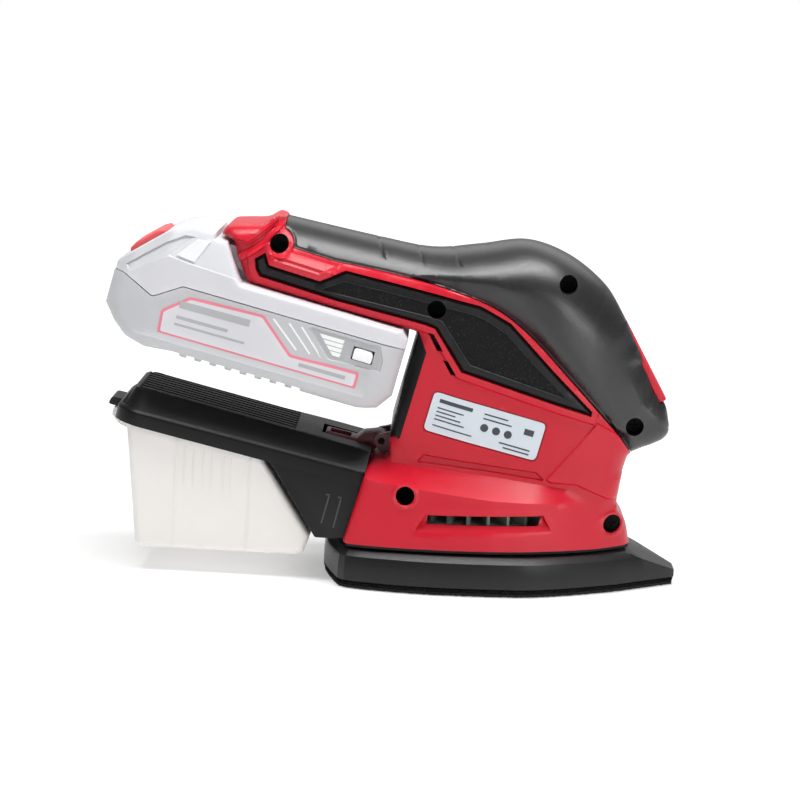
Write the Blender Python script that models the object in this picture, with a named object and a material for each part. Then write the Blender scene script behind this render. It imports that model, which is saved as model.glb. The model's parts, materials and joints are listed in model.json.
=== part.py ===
"""Cordless detail mouse sander, built as the assembly it is.

+X points to the tip of the sanding foot, +Z is up, and the origin lies on the working face
under the motor shaft. Dimensions are in millimetres and MM turns them into metres. The side
shape of the body is one outline in XZ, and side_surface says how wide the body is over it.
"""

import math

import bpy
import bmesh
from mathutils import Matrix, Vector
from mathutils.geometry import delaunay_2d_cdt

MM = 0.001
WELD = 1e-6
RIGHT, LEFT = -1, 1

# Foot
SHEET_TOP = 1.2
HOOK_TOP = 2.7
PAD_BOTTOM, PAD_TOP = 3.0, 16.0
PAD_TAIL = -65.2
TIP_SLOPE_START, TIP_TOP = 64.0, 6.5
DUST_HOLE_RADIUS = 4.0
ORBIT = 1.0

# Body shell
SKIRT_BOTTOM = 18.2
PARTING = 0.15
PAST_PARTING = -3.0
GRIP_DEPTH = 2.5
INLAY_DEPTH = 1.5
FIT = 0.3
WALL = 2.8
DEEP_WALL = 5.4
WEB_BOTTOM, WEB_TOP = 36.0, 41.0
WEB_HOLE_RADIUS = 24.4
SCREW_PLACES = ((-89.0, 139.8), (-22.1, 116.2), (32.2, 129.1), (64.0, 70.0), (-31.0, 39.9), (57.0, 28.1))
SCREWS_IN_GRIP = SCREW_PLACES[2:4]
SCREW_HEAD_PLACES = (-12.0, -12.0, -12.0, -10.0, -20.0, -14.0)
BOSS_RADIUS, COUNTERBORE_RADIUS, SHANK_RADIUS = 4.8, 3.9, 1.6

# Battery slide, a frame tilted nose down along the underside of the handle
BATTERY_TILT = math.radians(13.2)
BATTERY_ORIGIN = (-101.4, 123.0)
BATTERY_HALF_WIDTH = 38.0
CELL_RADIUS, CELL_LENGTH, CELL_PITCH = 9.1, 65.0, 18.9

# Dust box, a frame tilted nose down along the lid
LID_TILT = math.radians(12.0)
LID_ORIGIN = (-47.5, 50.3)
LID_HALF_WIDTH = 36.0
BOX_HALF_WIDTH = 32.8
BOX_WALL = 1.8
FILTER_PLEATS, PLEAT_PITCH, FILTER_HALF_WIDTH = 9, 4.5, 23.0

# Front switch, a frame on the sloping face of the nose
FACE_TILT = math.radians(59.7)
FACE_ORIGIN = (66.8, 97.7)

# Latch
LATCH_PIN = (-42.6, 56.4)
PIN_RADIUS = 1.2

# Drive line, all on the Z axis
MOTOR_BOTTOM, MOTOR_TOP, MOTOR_RADIUS = 52.0, 106.0, 18.0
FAN_RADIUS, FAN_DISC = 36.0, 25.6
FAN_BLADES = 26

# Half widths of the body over x: of the handle and neck, and of the skirt at its bottom edge
HALF_WIDTHS = ((-116, 23), (-108, 26.5), (-30, 28), (-10, 31), (30, 31.5), (45, 28.5), (60, 21), (66, 19),
               (80, 15.5))
SKIRT_WIDTHS = ((-58, 42.6), (-50, 45), (-42, 46.5), (-27, 47.4), (-12, 47.2), (6, 45.2), (21, 41.6), (36, 35.6),
                (51, 27.2), (60, 19.5), (65, 14.5), (67, 12))
SKIRT_DRAFT = 0.10

# Heights over x between which the wide skirt steps in to the narrow neck
LEDGE_LOW = ((-58, 50.2), (-46, 49.5), (6, 42.6), (36, 40.6), (52, 35.2), (60, 31), (67, 27))
LEDGE_HIGH = ((-58, 52), (-38, 50.6), (4, 47.6), (35, 43.8), (52, 39), (60, 33.5), (67, 29.5))


# ---- small tools ----------------------------------------------------------------------------

def between(table, x):
    """The value of a table of (x, value) rows at x."""
    if x <= table[0][0]:
        return table[0][1]
    for (x0, v0), (x1, v1) in zip(table, table[1:]):
        if x <= x1:
            return v0 + (v1 - v0) * (x - x0) / (x1 - x0)
    return table[-1][1]


def smooth(points, steps=4):
    """A curve through the points, which keeps both end points."""
    padded = [points[0], *points, points[-1]]
    curve = []
    for a, b, c, d in zip(padded, padded[1:], padded[2:], padded[3:]):
        for step in range(steps):
            t = step / steps
            curve.append(tuple(
                0.5 * (2 * q + (r - p) * t + (2 * p - 5 * q + 4 * r - s) * t * t
                       + (3 * q - p - 3 * r + s) * t ** 3)
                for p, q, r, s in zip(a, b, c, d)
            ))
    return curve + [tuple(points[-1])]


def arc(centre, radius, start, end, count):
    """Points of an arc, its angles in degrees."""
    angles = [math.radians(start + (end - start) * i / (count - 1)) for i in range(count)]
    return [(centre[0] + radius * math.cos(a), centre[1] + radius * math.sin(a)) for a in angles]


def tilted(origin, tilt, u, v):
    """The XZ point at u along and v above a line that falls by tilt towards +X."""
    return (
        origin[0] + u * math.cos(tilt) + v * math.sin(tilt),
        origin[1] - u * math.sin(tilt) + v * math.cos(tilt),
    )


def on_battery(u, v):
    return tilted(BATTERY_ORIGIN, BATTERY_TILT, u, v)


def on_lid(u, v):
    return tilted(LID_ORIGIN, LID_TILT, u, v)


def on_face(t, n):
    return tilted(FACE_ORIGIN, FACE_TILT, t, n)


def solid(name, points, faces):
    """An object from points in millimetres, its faces turned outwards."""
    mesh = bpy.data.meshes.new(name)
    mesh.from_pydata([Vector(p) * MM for p in points], [], faces)
    shape = bmesh.new()
    shape.from_mesh(mesh)
    bmesh.ops.delete(shape, geom=[v for v in shape.verts if not v.link_faces], context="VERTS")
    bmesh.ops.remove_doubles(shape, verts=shape.verts, dist=WELD)
    bmesh.ops.recalc_face_normals(shape, faces=shape.faces)
    shape.to_mesh(mesh)
    shape.free()
    obj = bpy.data.objects.new(name, mesh)
    bpy.context.scene.collection.objects.link(obj)
    return obj


def prism(name, bottom, top):
    """A solid between two rings of points that correspond."""
    count = len(bottom)
    sides = [(i, (i + 1) % count, count + (i + 1) % count, count + i) for i in range(count)]
    caps = [tuple(range(count)), tuple(range(count, 2 * count))]
    return solid(name, [*bottom, *top], sides + caps)


def across(name, outline, y0, y1):
    """An XZ outline extruded along Y."""
    return prism(name, [(x, y0, z) for x, z in outline], [(x, y1, z) for x, z in outline])


def upward(name, outline, z0, z1):
    """An XY outline extruded along Z."""
    return prism(name, [(x, y, z0) for x, y in outline], [(x, y, z1) for x, y in outline])


def block(name, low, high):
    (x0, y0, z0), (x1, y1, z1) = low, high
    return upward(name, [(x0, y0), (x1, y0), (x1, y1), (x0, y1)], z0, z1)


def lathe(name, profile, place=(0, 0), segments=32):
    """A closed (radius, z) profile turned round a vertical axis at place. Radii of 0 make a solid core."""
    rings = []
    points = []
    for radius, z in profile:
        if radius == 0:
            rings.append([len(points)] * segments)
            points.append((place[0], place[1], z))
            continue
        rings.append(list(range(len(points), len(points) + segments)))
        for i in range(segments):
            angle = 2 * math.pi * i / segments
            points.append((place[0] + radius * math.cos(angle), place[1] + radius * math.sin(angle), z))
    faces = []
    for a, b in zip(rings, rings[1:] + rings[:1]):
        for i in range(segments):
            j = (i + 1) % segments
            corners = list(dict.fromkeys((a[i], a[j], b[j], b[i])))
            if len(corners) > 2:
                faces.append(corners)
    return solid(name, points, faces)


def rod(name, radius, start, end, segments=20):
    """A round bar between two points."""
    start, end = Vector(start), Vector(end)
    turn = (end - start).to_track_quat("Z", "Y")
    rings = []
    for centre in (start, end):
        for i in range(segments):
            angle = 2 * math.pi * i / segments
            rings.append(centre + turn @ Vector((radius * math.cos(angle), radius * math.sin(angle), 0)))
    return prism(name, rings[:segments], rings[segments:])


def combine(target, tool, operation):
    """Applies one Boolean and removes its tool."""
    modifier = target.modifiers.new(operation, "BOOLEAN")
    modifier.operation = operation
    modifier.solver = "EXACT"
    modifier.object = tool
    bpy.context.view_layer.update()
    result = bpy.data.meshes.new_from_object(target.evaluated_get(bpy.context.evaluated_depsgraph_get()))
    target.modifiers.clear()
    target.data = result
    bpy.data.objects.remove(tool)
    shape = bmesh.new()
    shape.from_mesh(result)
    bmesh.ops.remove_doubles(shape, verts=shape.verts, dist=WELD)
    bmesh.ops.dissolve_degenerate(shape, edges=shape.edges, dist=WELD)
    shape.to_mesh(result)
    shape.free()
    return target


def cut(target, *tools):
    for tool in tools:
        combine(target, tool, "DIFFERENCE")
    return target


def join(target, *tools):
    for tool in tools:
        combine(target, tool, "UNION")
    return target


def set_origin(obj, point):
    """Moves the object's origin, given in millimetres, and leaves its shape where it is."""
    shift = Vector(point) * MM
    obj.data.transform(Matrix.Translation(-shift))
    obj.location = shift
    return obj


def paint(obj, colour, roughness, metallic=0.0):
    """A Principled material, its colour as sRGB from 0 to 255."""
    name = "finish_%02x%02x%02x_%d_%d" % (*colour, roughness * 100, metallic * 100)
    material = bpy.data.materials.get(name)
    if material is None:
        material = bpy.data.materials.new(name)
        material.use_nodes = True
        shader = material.node_tree.nodes["Principled BSDF"]
        linear = [(c / 255 / 12.92) if c < 11 else ((c / 255 + 0.055) / 1.055) ** 2.4 for c in colour]
        shader.inputs["Base Color"].default_value = (*linear, 1.0)
        shader.inputs["Roughness"].default_value = roughness
        shader.inputs["Metallic"].default_value = metallic
    obj.data.materials.clear()
    obj.data.materials.append(material)
    return obj


RED = ((205, 24, 56), 0.42)
BLACK = ((30, 29, 31), 0.55)
SOFT_BLACK = ((40, 40, 43), 0.75)
RUBBER = ((24, 24, 25), 0.85)
STEEL = ((170, 172, 176), 0.32, 1.0)
COPPER = ((196, 130, 84), 0.35, 1.0)
PALE = ((238, 238, 243), 0.45)
PALE_GREY = ((208, 209, 217), 0.5)
MILKY = ((220, 220, 214), 0.35)


# ---- the body's side shape ------------------------------------------------------------------

CLOSED_ROUND = 99.0
GRIP_TOP = smooth(((-86.4, 149.8), (-48.7, 143.0), (-25.0, 139.7), (-5.2, 142.0), (15.0, 145.0), (33.3, 139.4),
                   (49.1, 127.7), (57.5, 115.3)), 3)
NOSE = [(62.9, 105.0), (68.0, 94.6), (73.2, 84.9), (77.6, 78.2)] + smooth(
    ((79.6, 73.0), (79.2, 66.4), (72.6, 62.0), (62.3, 57.4)), 2)
NECK_FRONT = [(60.4, 50.2), (58.9, 39.6)]
SKIRT_FRONT = [(58.6, 34.0), (63.3, 28.2), (65.6, SKIRT_BOTTOM)]
REAR = [(-56.0, SKIRT_BOTTOM), (-47.3, 50.2), (-38.8, 51.4)]
NECK_REAR = [(-38.9, 63.6), (-28.9, 106.1), (-101.6, 123.0), (-106.6, 134.8), (-108.1, 140.8)]
HOOD = [(-114.4, 141.6), (-111.0, 146.6), (-96.0, 147.4), (-91.2, 150.8)]


def body_edges():
    """The outline's segments, each with how far the side curves in at it and over what distance."""
    stretches = (
        (GRIP_TOP, CLOSED_ROUND, 21.0),
        (NOSE[:4], 6.0, 9.0),
        (NOSE[4:], 8.0, 9.0),
        (NECK_FRONT, 6.0, 7.0),
        (SKIRT_FRONT, 4.0, 4.0),
        (REAR, 3.0, 3.0),
        (NECK_REAR, 3.0, 3.5),
        (HOOD, 9.0, 7.0),
    )
    rows = [(p, inset, reach) for points, inset, reach in stretches for p in points]
    edges = []
    for (a, inset, reach), (b, _, _) in zip(rows, rows[1:] + rows[:1]):
        flat_bottom = a[1] == b[1] == SKIRT_BOTTOM
        edges.append((Vector(a), Vector(b), 0.0 if flat_bottom else inset, reach))
    return edges


BODY_EDGES = body_edges()
BODY_OUTLINE = [tuple(a) for a, _, _, _ in BODY_EDGES]


def distance(point, a, b):
    along = max(0.0, min(1.0, (point - a).dot(b - a) / (b - a).length_squared))
    return (point - a - (b - a) * along).length


def flat_width(x, z):
    """Half the body's width away from its edges."""
    upper = between(HALF_WIDTHS, x)
    skirt = between(SKIRT_WIDTHS, x) - SKIRT_DRAFT * (z - SKIRT_BOTTOM)
    low, high = between(LEDGE_LOW, x), between(LEDGE_HIGH, x)
    return between(((low, skirt), (high, upper)), z)


def side_surface(x, z, depth=0.0):
    """Half the body's width at (x, z), or of the shape that lies depth inside it. Below 0 is outside."""
    point = Vector((x, z))
    full = flat_width(x, z) - depth
    width = full
    for a, b, inset, reach in BODY_EDGES:
        if abs(a.x + b.x - 2 * x) > 2 * (reach + depth) + abs(a.x - b.x):
            continue
        inside = distance(point, a, b) - depth
        if inside < -1e-3:
            return -2.0
        if inside < reach:
            share = max(inside, 0.0) / reach
            width = min(width, full - min(inset, full - 0.6) * (1 - math.sqrt(1 - (1 - share) ** 2)))
    return width


def inside(point, outline):
    hit = False
    for (x0, z0), (x1, z1) in zip(outline, outline[1:] + outline[:1]):
        if (z0 > point[1]) != (z1 > point[1]):
            hit ^= point[0] < x0 + (x1 - x0) * (point[1] - z0) / (z1 - z0)
    return hit


def sample_points(depth):
    """Points inside the body's outline where the side surface that lies depth inside it bends."""
    found = []
    for a, b, _, reach in BODY_EDGES:
        normal = Vector((-(b - a).y, (b - a).x)).normalized()
        count = max(1, round((b - a).length / 9))
        rim = (depth - 0.4,) if depth else ()
        for away in rim + tuple(depth + share * reach for share in (0.0, 0.06, 0.2, 0.45, 0.75, 1.05)):
            for i in range(count):
                for side in (-1, 1):
                    point = a + (b - a) * ((i + 0.5) / count) + normal * side * away
                    found.append((point, away))
    for x in range(-110, 80, 12):
        for z in range(24, 150, 12):
            found.append((Vector((x, z)), depth + 3))
    kept = []
    for point, away in found:
        clear = min(distance(point, a, b) for a, b, _, _ in BODY_EDGES)
        spaced = all((point - other).length > (0.38 if abs(other_away - away) > 0.1 else 1.6)
                     for other, other_away in kept)
        if inside(point, BODY_OUTLINE) and clear > 0.96 * away and clear > 0.4 and spaced:
            kept.append((point, away))
    return [point for point, _ in kept]


def crease_lines():
    """The creases of the side surface: the ledge, and the upright lines where its width turns."""
    lines = [[Vector((x, z)) for z in range(46, top, 8)] for x, top in ((-10.0, 120), (30.0, 110), (45.0, 96))]
    for table in (LEDGE_LOW, LEDGE_HIGH):
        places = [x for x, _ in table] + [-20.0, 20.0, 44.0]
        line = [Vector((x, between(table, x))) for x in sorted(places)]
        lines.append([p for p in line if inside(p, BODY_OUTLINE)])
    return lines


def slab(name, side, outline, near, far, points=(), lines=()):
    """The solid between the sheets y = near(x, z) and y = far(x, z) over an XZ outline."""
    flat = [Vector(p) for p in outline]
    edges = []
    for line in lines:
        for a, b in zip(line, line[1:]):
            edges.append((len(flat), len(flat) + 1))
            flat += [Vector(a), Vector(b)]
    flat += [Vector(p) for p in points if inside(p, list(outline))]
    places, _, triangles, *_ = delaunay_2d_cdt(flat, edges, [list(range(len(outline)))], 0, 1e-3)
    centres = [sum((places[i] for i in triangle), Vector((0, 0))) / 3 for triangle in triangles]
    triangles = [triangle for triangle, centre in zip(triangles, centres) if inside(centre, list(outline))]
    count = len(places)
    inner = [(x, side * near(x, z), z) for x, z in places]
    outer = [(x, side * far(x, z), z) for x, z in places]
    uses = {}
    for triangle in triangles:
        for i in range(len(triangle)):
            edge = (triangle[i], triangle[(i + 1) % len(triangle)])
            uses.setdefault(tuple(sorted(edge)), []).append(edge)
    walls = [(a, b, b + count, a + count) for found in uses.values() if len(found) == 1 for a, b in found]
    back = [tuple(i + count for i in reversed(triangle)) for triangle in triangles]
    return solid(name, inner + outer, [tuple(t) for t in triangles] + back + walls)


# ---- shells, grips and inlays ---------------------------------------------------------------

GRIP_REAR = arc(SCREW_PLACES[0], 6.2, 72, -12, 5)
GRIP_EDGE = smooth(((-65.5, 134.0), (-35.6, 129.0), (-4.3, 121.1), (15.2, 109.7), (39.1, 86.1), (58.0, 66.0)), 3)
UPPER_HOLLOW = [
    on_battery(18, 15.8), on_battery(74, 15.8), (-24.0, 108.0), (-33.0, 69.0), (-34.5, WEB_TOP), (52.0, WEB_TOP),
    (55.5, 55.0), (72.0, 66.0), (74.0, 72.0), (52.0, 113.0), (44.0, 125.0), (30.0, 135.0), (15.0, 139.5),
    (-5.0, 137.0), (-25.0, 134.5), (-48.0, 137.5), (-82.0, 143.5),
]
INLAY = [
    (-98.6, 133.2), (-98.0, 128.9), (-96.4, 126.2), (-64.1, 117.8), (-27.0, 109.9), (-22.1, 108.4),
    (-10.3, 91.0), (44.6, 75.0), (44.9, 76.6), (27.2, 93.8), (8.9, 112.3), (-1.8, 117.8), (-4.3, 118.9),
    (-60.5, 130.0), (-71.3, 125.2), (-93.0, 130.8), (-94.6, 135.6),
]
LABEL = [(-21.0, 82.0), (26.2, 71.0), (22.4, 55.2), (-25.0, 65.6)]
LABEL_DEPTH = 0.4
VENT_SLOTS = (
    [(-25.2, 106.6), (-22.7, 106.0), (-18.5, 99.0), (-21.0, 98.9)],
    [(-18.4, 95.4), (-16.2, 95.0), (-12.4, 89.0), (-14.8, 89.4)],
)
FAN_WINDOW = [(-20.0, 28.6), (24.0, 28.6), (22.0, 31.8), (-18.5, 31.8)]
FINGER_GROOVES = ((-48.3, 143.0), (-31.3, 140.4), (-16.6, 140.3))


def grown(outline, by):
    """An outline moved outwards by a small amount."""
    area = sum(x0 * z1 - x1 * z0 for (x0, z0), (x1, z1) in zip(outline, outline[1:] + outline[:1]))
    turn = 1 if area > 0 else -1
    points = []
    for before, here, after in zip(outline[-1:] + outline[:-1], outline, outline[1:] + outline[:1]):
        first = Vector((here[0] - before[0], here[1] - before[1])).normalized()
        second = Vector((after[0] - here[0], after[1] - here[1])).normalized()
        mean = (first + second).normalized()
        reach = by / max(0.35, mean.dot(first))
        points.append((here[0] + turn * mean.y * reach, here[1] - turn * mean.x * reach))
    return points


def grip_area():
    """The grip's side outline."""
    return GRIP_REAR + GRIP_EDGE + NOSE[::-1] + GRIP_TOP[::-1]


def grip_cutter_area():
    """What clears the housing for the grip: its area with a gap, carried on outside the body."""
    edge = [(x - FIT, z - FIT) for x, z in GRIP_REAR + GRIP_EDGE]
    return edge + [(62.6, 55.0), (95.0, 52.0), (95.0, 160.0), (-86.7, 160.0)]


def face_block(name, along, low, high, half_width):
    """A box on the nose's sloping face, from low to high off it."""
    corners = [on_face(-along, low), on_face(along, low), on_face(along, high), on_face(-along, high)]
    return across(name, corners, -half_width, half_width)


def switch_cutters():
    """The recess that the switch bezel sits in, and the way in for the switch behind it."""
    return face_block("bezel_space", 20.0, -3.2, 20.0, 13.4), face_block("switch_space", 13.5, -30.0, 5.0, 9.4)


def past_parting(x, z):
    """Just beyond the parting face, where a half starts before it is trimmed."""
    return PAST_PARTING


def well_past_parting(x, z):
    return 2 * PAST_PARTING


def outside(x, z):
    """Clear of the widest part of the body."""
    return 60.0


def under_skin(depth):
    """The sheet that lies depth inside the body's side surface."""
    return lambda x, z: side_surface(x, z, depth)


def finger_groove(place):
    x, z = place
    return block("groove", (x - 0.6, -12, z - 1.0), (x + 0.6, 12, z + 5.0))


def make_grip(name, side):
    upright = crease_lines()[:3]
    grip = slab(name, side, grip_area(), past_parting, side_surface, sample_points(0.0), upright)
    cut(grip, slab("core", side, grip_cutter_area(), well_past_parting, under_skin(GRIP_DEPTH),
                   sample_points(GRIP_DEPTH + FIT) + BODY_OUTLINE))
    cut(grip, *switch_cutters())
    for place in FINGER_GROOVES:
        cut(grip, finger_groove(place))
    if side == RIGHT:
        for x, z in SCREWS_IN_GRIP:
            cut(grip, rod("bore", COUNTERBORE_RADIUS, (x, -50, z), (x, -5, z)))
    cut(grip, other_side(side))
    return paint(grip, *SOFT_BLACK)


def other_side(side):
    """What trims a half to its parting face."""
    y0, y1 = sorted((side * PARTING, -side * 70.0))
    return block("other_side", (-200, y0, -20), (120, y1, 200))


def screw_boss(side, place):
    x, z = place
    rim = arc(place, BOSS_RADIUS, 0, 315, 8)
    outer = min(side_surface(*point, GRIP_DEPTH + FIT) for point in rim) - 0.6
    return rod("boss", BOSS_RADIUS, (x, side * PAST_PARTING, z), (x, side * outer, z), 18)


def make_housing(name, side):
    """One clamshell half: handle, nose, neck and skirt."""
    points = sample_points(0.0)
    housing = slab(name, side, BODY_OUTLINE, past_parting, side_surface, points, crease_lines())
    cut(housing, slab("under_grip", side, grip_cutter_area(), under_skin(GRIP_DEPTH + FIT), outside,
                      sample_points(GRIP_DEPTH + FIT) + BODY_OUTLINE))
    cut(housing, slab("hollow", side, UPPER_HOLLOW, well_past_parting, under_skin(DEEP_WALL),
                      sample_points(DEEP_WALL)))
    cut(housing, skirt_hollow(side))
    cut(housing, lathe("web_hole", [(0, 34), (WEB_HOLE_RADIUS, 34), (WEB_HOLE_RADIUS, 46), (0, 46)]))
    for place in SCREW_PLACES:
        join(housing, screw_boss(side, place))
    cut(housing, *screw_bores(side))
    cut(housing, *switch_cutters())
    cut(housing, *battery_cutters())
    cut(housing, block("exhaust", (-62, -12.6, 22.4), (-44, 12.6, 35.0)))
    for outline in (*VENT_SLOTS, FAN_WINDOW):
        cut(housing, across("vent", outline, side * 20.0, side * 60.0))
    add_latch_lug(housing, side)
    cut(housing, slab("pocket", side, grown(INLAY, FIT), under_skin(INLAY_DEPTH + FIT), outside, points))
    cut(housing, other_side(side))
    return paint(housing, *RED)


def skirt_hollow(side):
    """The space inside the skirt for the fan and the foot's rubber mounts."""
    outline = [(-53.0, 8.0), (-51.9, 20.0), (-47.4, WEB_BOTTOM), (54.0, WEB_BOTTOM), (55.0, 31.0), (61.0, 26.0),
               (62.5, 8.0)]
    points = [(x, z) for x, _ in SKIRT_WIDTHS for z in (10.0, 26.0, 35.0)]
    return slab("skirt_hollow", side, outline, well_past_parting, lambda x, z: flat_width(x, z) - WALL, points)


def screw_bores(side):
    """The screws' clearance holes with their head recesses on the right, and blind pilot holes on the left."""
    bores = []
    for (x, z), head in zip(SCREW_PLACES, SCREW_HEAD_PLACES):
        start, end = (-60, 6) if side == RIGHT else (-6, 12)
        bores.append(rod("shank_bore", SHANK_RADIUS + FIT, (x, start, z), (x, end, z), 14))
        if side == RIGHT:
            bores.append(rod("head_bore", COUNTERBORE_RADIUS, (x, -60, z), (x, head, z)))
    return bores


def battery_cutters():
    """The rail channel under the handle, narrow at its mouth, and the leads' two ways out of it."""
    cutters = []
    for low, high, half_width in ((-6.1, 3.3, 18.0), (3.2, 13.6, 21.0)):
        channel = [on_battery(-22, low), on_battery(73.4, low), on_battery(73.4, high), on_battery(-22, high)]
        cutters.append(across("channel", channel, -half_width, half_width))
    for y0, y1 in ((-15.0, -9.0), (9.0, 15.0)):
        wire_way = [on_battery(72, 7), on_battery(80, 7), on_battery(80, 20), on_battery(72, 12)]
        cutters.append(across("wire_way", wire_way, y0, y1))
    return cutters


def add_latch_lug(housing, side):
    """The ear at the back of the neck that carries one end of the latch pin."""
    x, z = LATCH_PIN
    lug = [(x - 1.0, z - 4.2), (-37.0, z - 4.6), (-35.5, z + 5.0), (x, z + 3.2)] + arc((x, z), 3.2, 110, 230, 5)
    join(housing, across("lug", lug, side * 7.4, side * 10.6))
    cut(housing, pin_bore())


def pin_bore():
    x, z = LATCH_PIN
    return rod("pin_bore", PIN_RADIUS + FIT, (x, -14, z), (x, 14, z), 16)


def make_inlay(name, side):
    inlay = slab(name, side, INLAY, under_skin(INLAY_DEPTH), side_surface, sample_points(0.0))
    if side == RIGHT:
        x, z = SCREW_PLACES[1]
        cut(inlay, rod("bore", COUNTERBORE_RADIUS, (x, -60, z), (x, -5, z)))
    return paint(inlay, *BLACK)


def make_shells():
    for word, side in (("right", RIGHT), ("left", LEFT)):
        make_housing(word + "_housing", side)
        make_grip(word + "_grip", side)
        make_inlay(word + "_inlay", side)
    upright = [[(-10.0, 40.0), (-10.0, 100.0)]]
    pocket = slab("label_pocket", RIGHT, grown(LABEL, FIT), under_skin(LABEL_DEPTH + FIT), outside, (), upright)
    cut(bpy.data.objects["right_housing"], pocket)
    paint(slab("rating_label", RIGHT, LABEL, under_skin(LABEL_DEPTH), side_surface, (), upright), *PALE)


def make_screws():
    for number, ((x, z), head) in enumerate(zip(SCREW_PLACES, SCREW_HEAD_PLACES), 1):
        screw = rod("housing_screw_%d" % number, 3.4, (x, head - 2.7, z), (x, head - FIT, z), 18)
        join(screw, rod("shank", SHANK_RADIUS, (x, head - 1.0, z), (x, 10.5, z), 12))
        for turn in (0, 90):
            slot = block("slot", (-2.0, head - 4, -0.45), (2.0, head - 1.7, 0.45))
            slot.data.transform(Matrix.Rotation(math.radians(turn), 4, "Y"))
            slot.data.transform(Matrix.Translation((x * MM, 0, z * MM)))
            cut(screw, slot)
        paint(screw, *STEEL)


# ---- front switch ---------------------------------------------------------------------------

def make_switch():
    bezel = face_block("switch_bezel", 19.6, -2.8, 1.3, 13.0)
    cut(bezel, face_block("window", 12.4, -6.0, 6.0, 8.2))
    paint(bezel, *RED)
    underside = [(-11.8, -3.0), (-6.0, -6.4), (6.0, -6.4), (11.8, -3.0)]
    profile = underside + [(11.8, 0.7), (5.0, -0.4), (-5.0, -0.4), (-11.8, 0.7)]
    rocker = across("switch_rocker", [on_face(t, n) for t, n in profile], -7.8, 7.8)
    axle = on_face(0.0, -4.0)
    paint(set_origin(rocker, (axle[0], 0, axle[1])), *BLACK)
    paint(face_block("switch_body", 10.5, -22.0, -8.2, 7.4), *BLACK)


# ---- motor and drive ------------------------------------------------------------------------

def make_motor():
    paint(lathe("motor_can", [(6, MOTOR_BOTTOM), (MOTOR_RADIUS, MOTOR_BOTTOM), (MOTOR_RADIUS, MOTOR_TOP),
                              (16.6, MOTOR_TOP), (16.6, MOTOR_BOTTOM + 1.6), (6, MOTOR_BOTTOM + 1.6)]), *STEEL)
    top = MOTOR_TOP + FIT
    paint(lathe("motor_end_cap", [(3.2, top), (MOTOR_RADIUS, top), (MOTOR_RADIUS, top + 2), (12, top + 6.6),
                                  (3.2, top + 6.6)]), *BLACK)
    rotor = lathe("motor_rotor", [(0, 20.9), (4, 20.9), (4, 46), (2.6, 48), (2.6, 58), (15.2, 58), (15.2, 98),
                                  (8, 98), (8, 104), (2.6, 104), (2.6, 111), (0, 111)], segments=28)
    paint(rotor, *STEEL)
    for sign, word in ((1, "front"), (-1, "rear")):
        outline = arc((0, 0), 16.2, -50, 50, 9) + arc((0, 0), 15.6, 50, -50, 9)
        magnet = upward("motor_magnet_" + word, [(sign * x, y) for x, y in outline], 60, 96)
        paint(magnet, *BLACK)


def make_drive():
    paint(lathe("main_bearing", [(4.3, 38.6), (11, 38.6), (11, 45.6), (4.3, 45.6)]), *STEEL)
    paint(lathe("bearing_plate", [(9.6, 36.6), (24, 36.6), (24, 40.4), (14, 40.4), (14, 46.4), (11.3, 46.4),
                                  (11.3, 38.2), (9.6, 38.2)]), *STEEL)
    disc = FAN_DISC
    fan = lathe("fan", [(4.3, 21.2), (9, 21.2), (10.5, disc), (FAN_RADIUS, disc), (FAN_RADIUS, disc + 1.2),
                        (11, disc + 1.2), (9, 34), (4.3, 34)], segments=52)
    for count, low, high, root in ((FAN_BLADES, disc + 0.6, 34.0, 23.0), (9, 20.6, disc + 0.4, 12.0)):
        for i in range(count):
            blade = block("blade", (root, -0.6, low), (FAN_RADIUS - 0.4, 0.6, high))
            blade.data.transform(Matrix.Rotation(2 * math.pi * i / count, 4, "Z"))
            join(fan, blade)
    paint(fan, *PALE_GREY)
    eccentric = lathe("eccentric", [(0, 14.6), (9, 14.6), (9, 20.6), (0, 20.6)], segments=28)
    lobe = arc((0, 0), 19.5, 115, 245, 13) + [(0, 0)]
    join(eccentric, upward("lobe", lobe, 15.2, 20.0))
    join(eccentric, rod("pin", 3.9, (ORBIT, 0, 7.2), (ORBIT, 0, 15.2)))
    paint(eccentric, *STEEL)
    bearing = lathe("eccentric_bearing", [(4.2, 7.0), (11, 7.0), (11, 14.0), (4.2, 14.0)], (ORBIT, 0))
    paint(set_origin(bearing, (ORBIT, 0, 7)), *STEEL)
    volute = lathe("dust_volute", [(37.6, 18.6), (39.2, 18.6), (39.2, 25.0), (37.6, 25.0)], segments=48)
    join(volute, block("throat", (-49.0, -11.4, 18.6), (-36.8, 11.4, 25.0)))
    cut(volute, block("throat_way", (-60.0, -9.8, 17.0), (-20.0, 9.8, 30.0)))
    paint(volute, *BLACK)


# ---- sanding foot ---------------------------------------------------------------------------

PAD_SIDE = smooth(((86.2, 6.0), (68.8, 20.1), (55.4, 30.1), (29.5, 44.5), (10.6, 49.4), (-20.5, 51.6),
                   (-45.5, 48.8), (-55.0, 46.0)), 2)
PAD_REAR = [(-57.6, 43.0), (-61.2, 30.0), (-64.3, 15.0), (PAD_TAIL, 0.0)]
DUST_HOLES = ((-42.0, 28.0), (-42.0, -28.0), (-48.0, 0.0), (10.0, 34.0), (10.0, -34.0), (38.0, 20.0),
              (38.0, -20.0), (62.0, 0.0))

RUBBER_FEET = (("rear_right", -40, -30), ("rear_left", -40, 30), ("front_right", 44, -13),
               ("front_left", 44, 13))


def foot_outline():
    half = PAD_SIDE + PAD_REAR
    return [(x, y) for x, y in half] + [(x, -y) for x, y in half[-2::-1]]


def dust_holes(low, high):
    return [rod("dust_hole", DUST_HOLE_RADIUS, (x, y, low), (x, y, high), 14) for x, y in DUST_HOLES]


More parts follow.
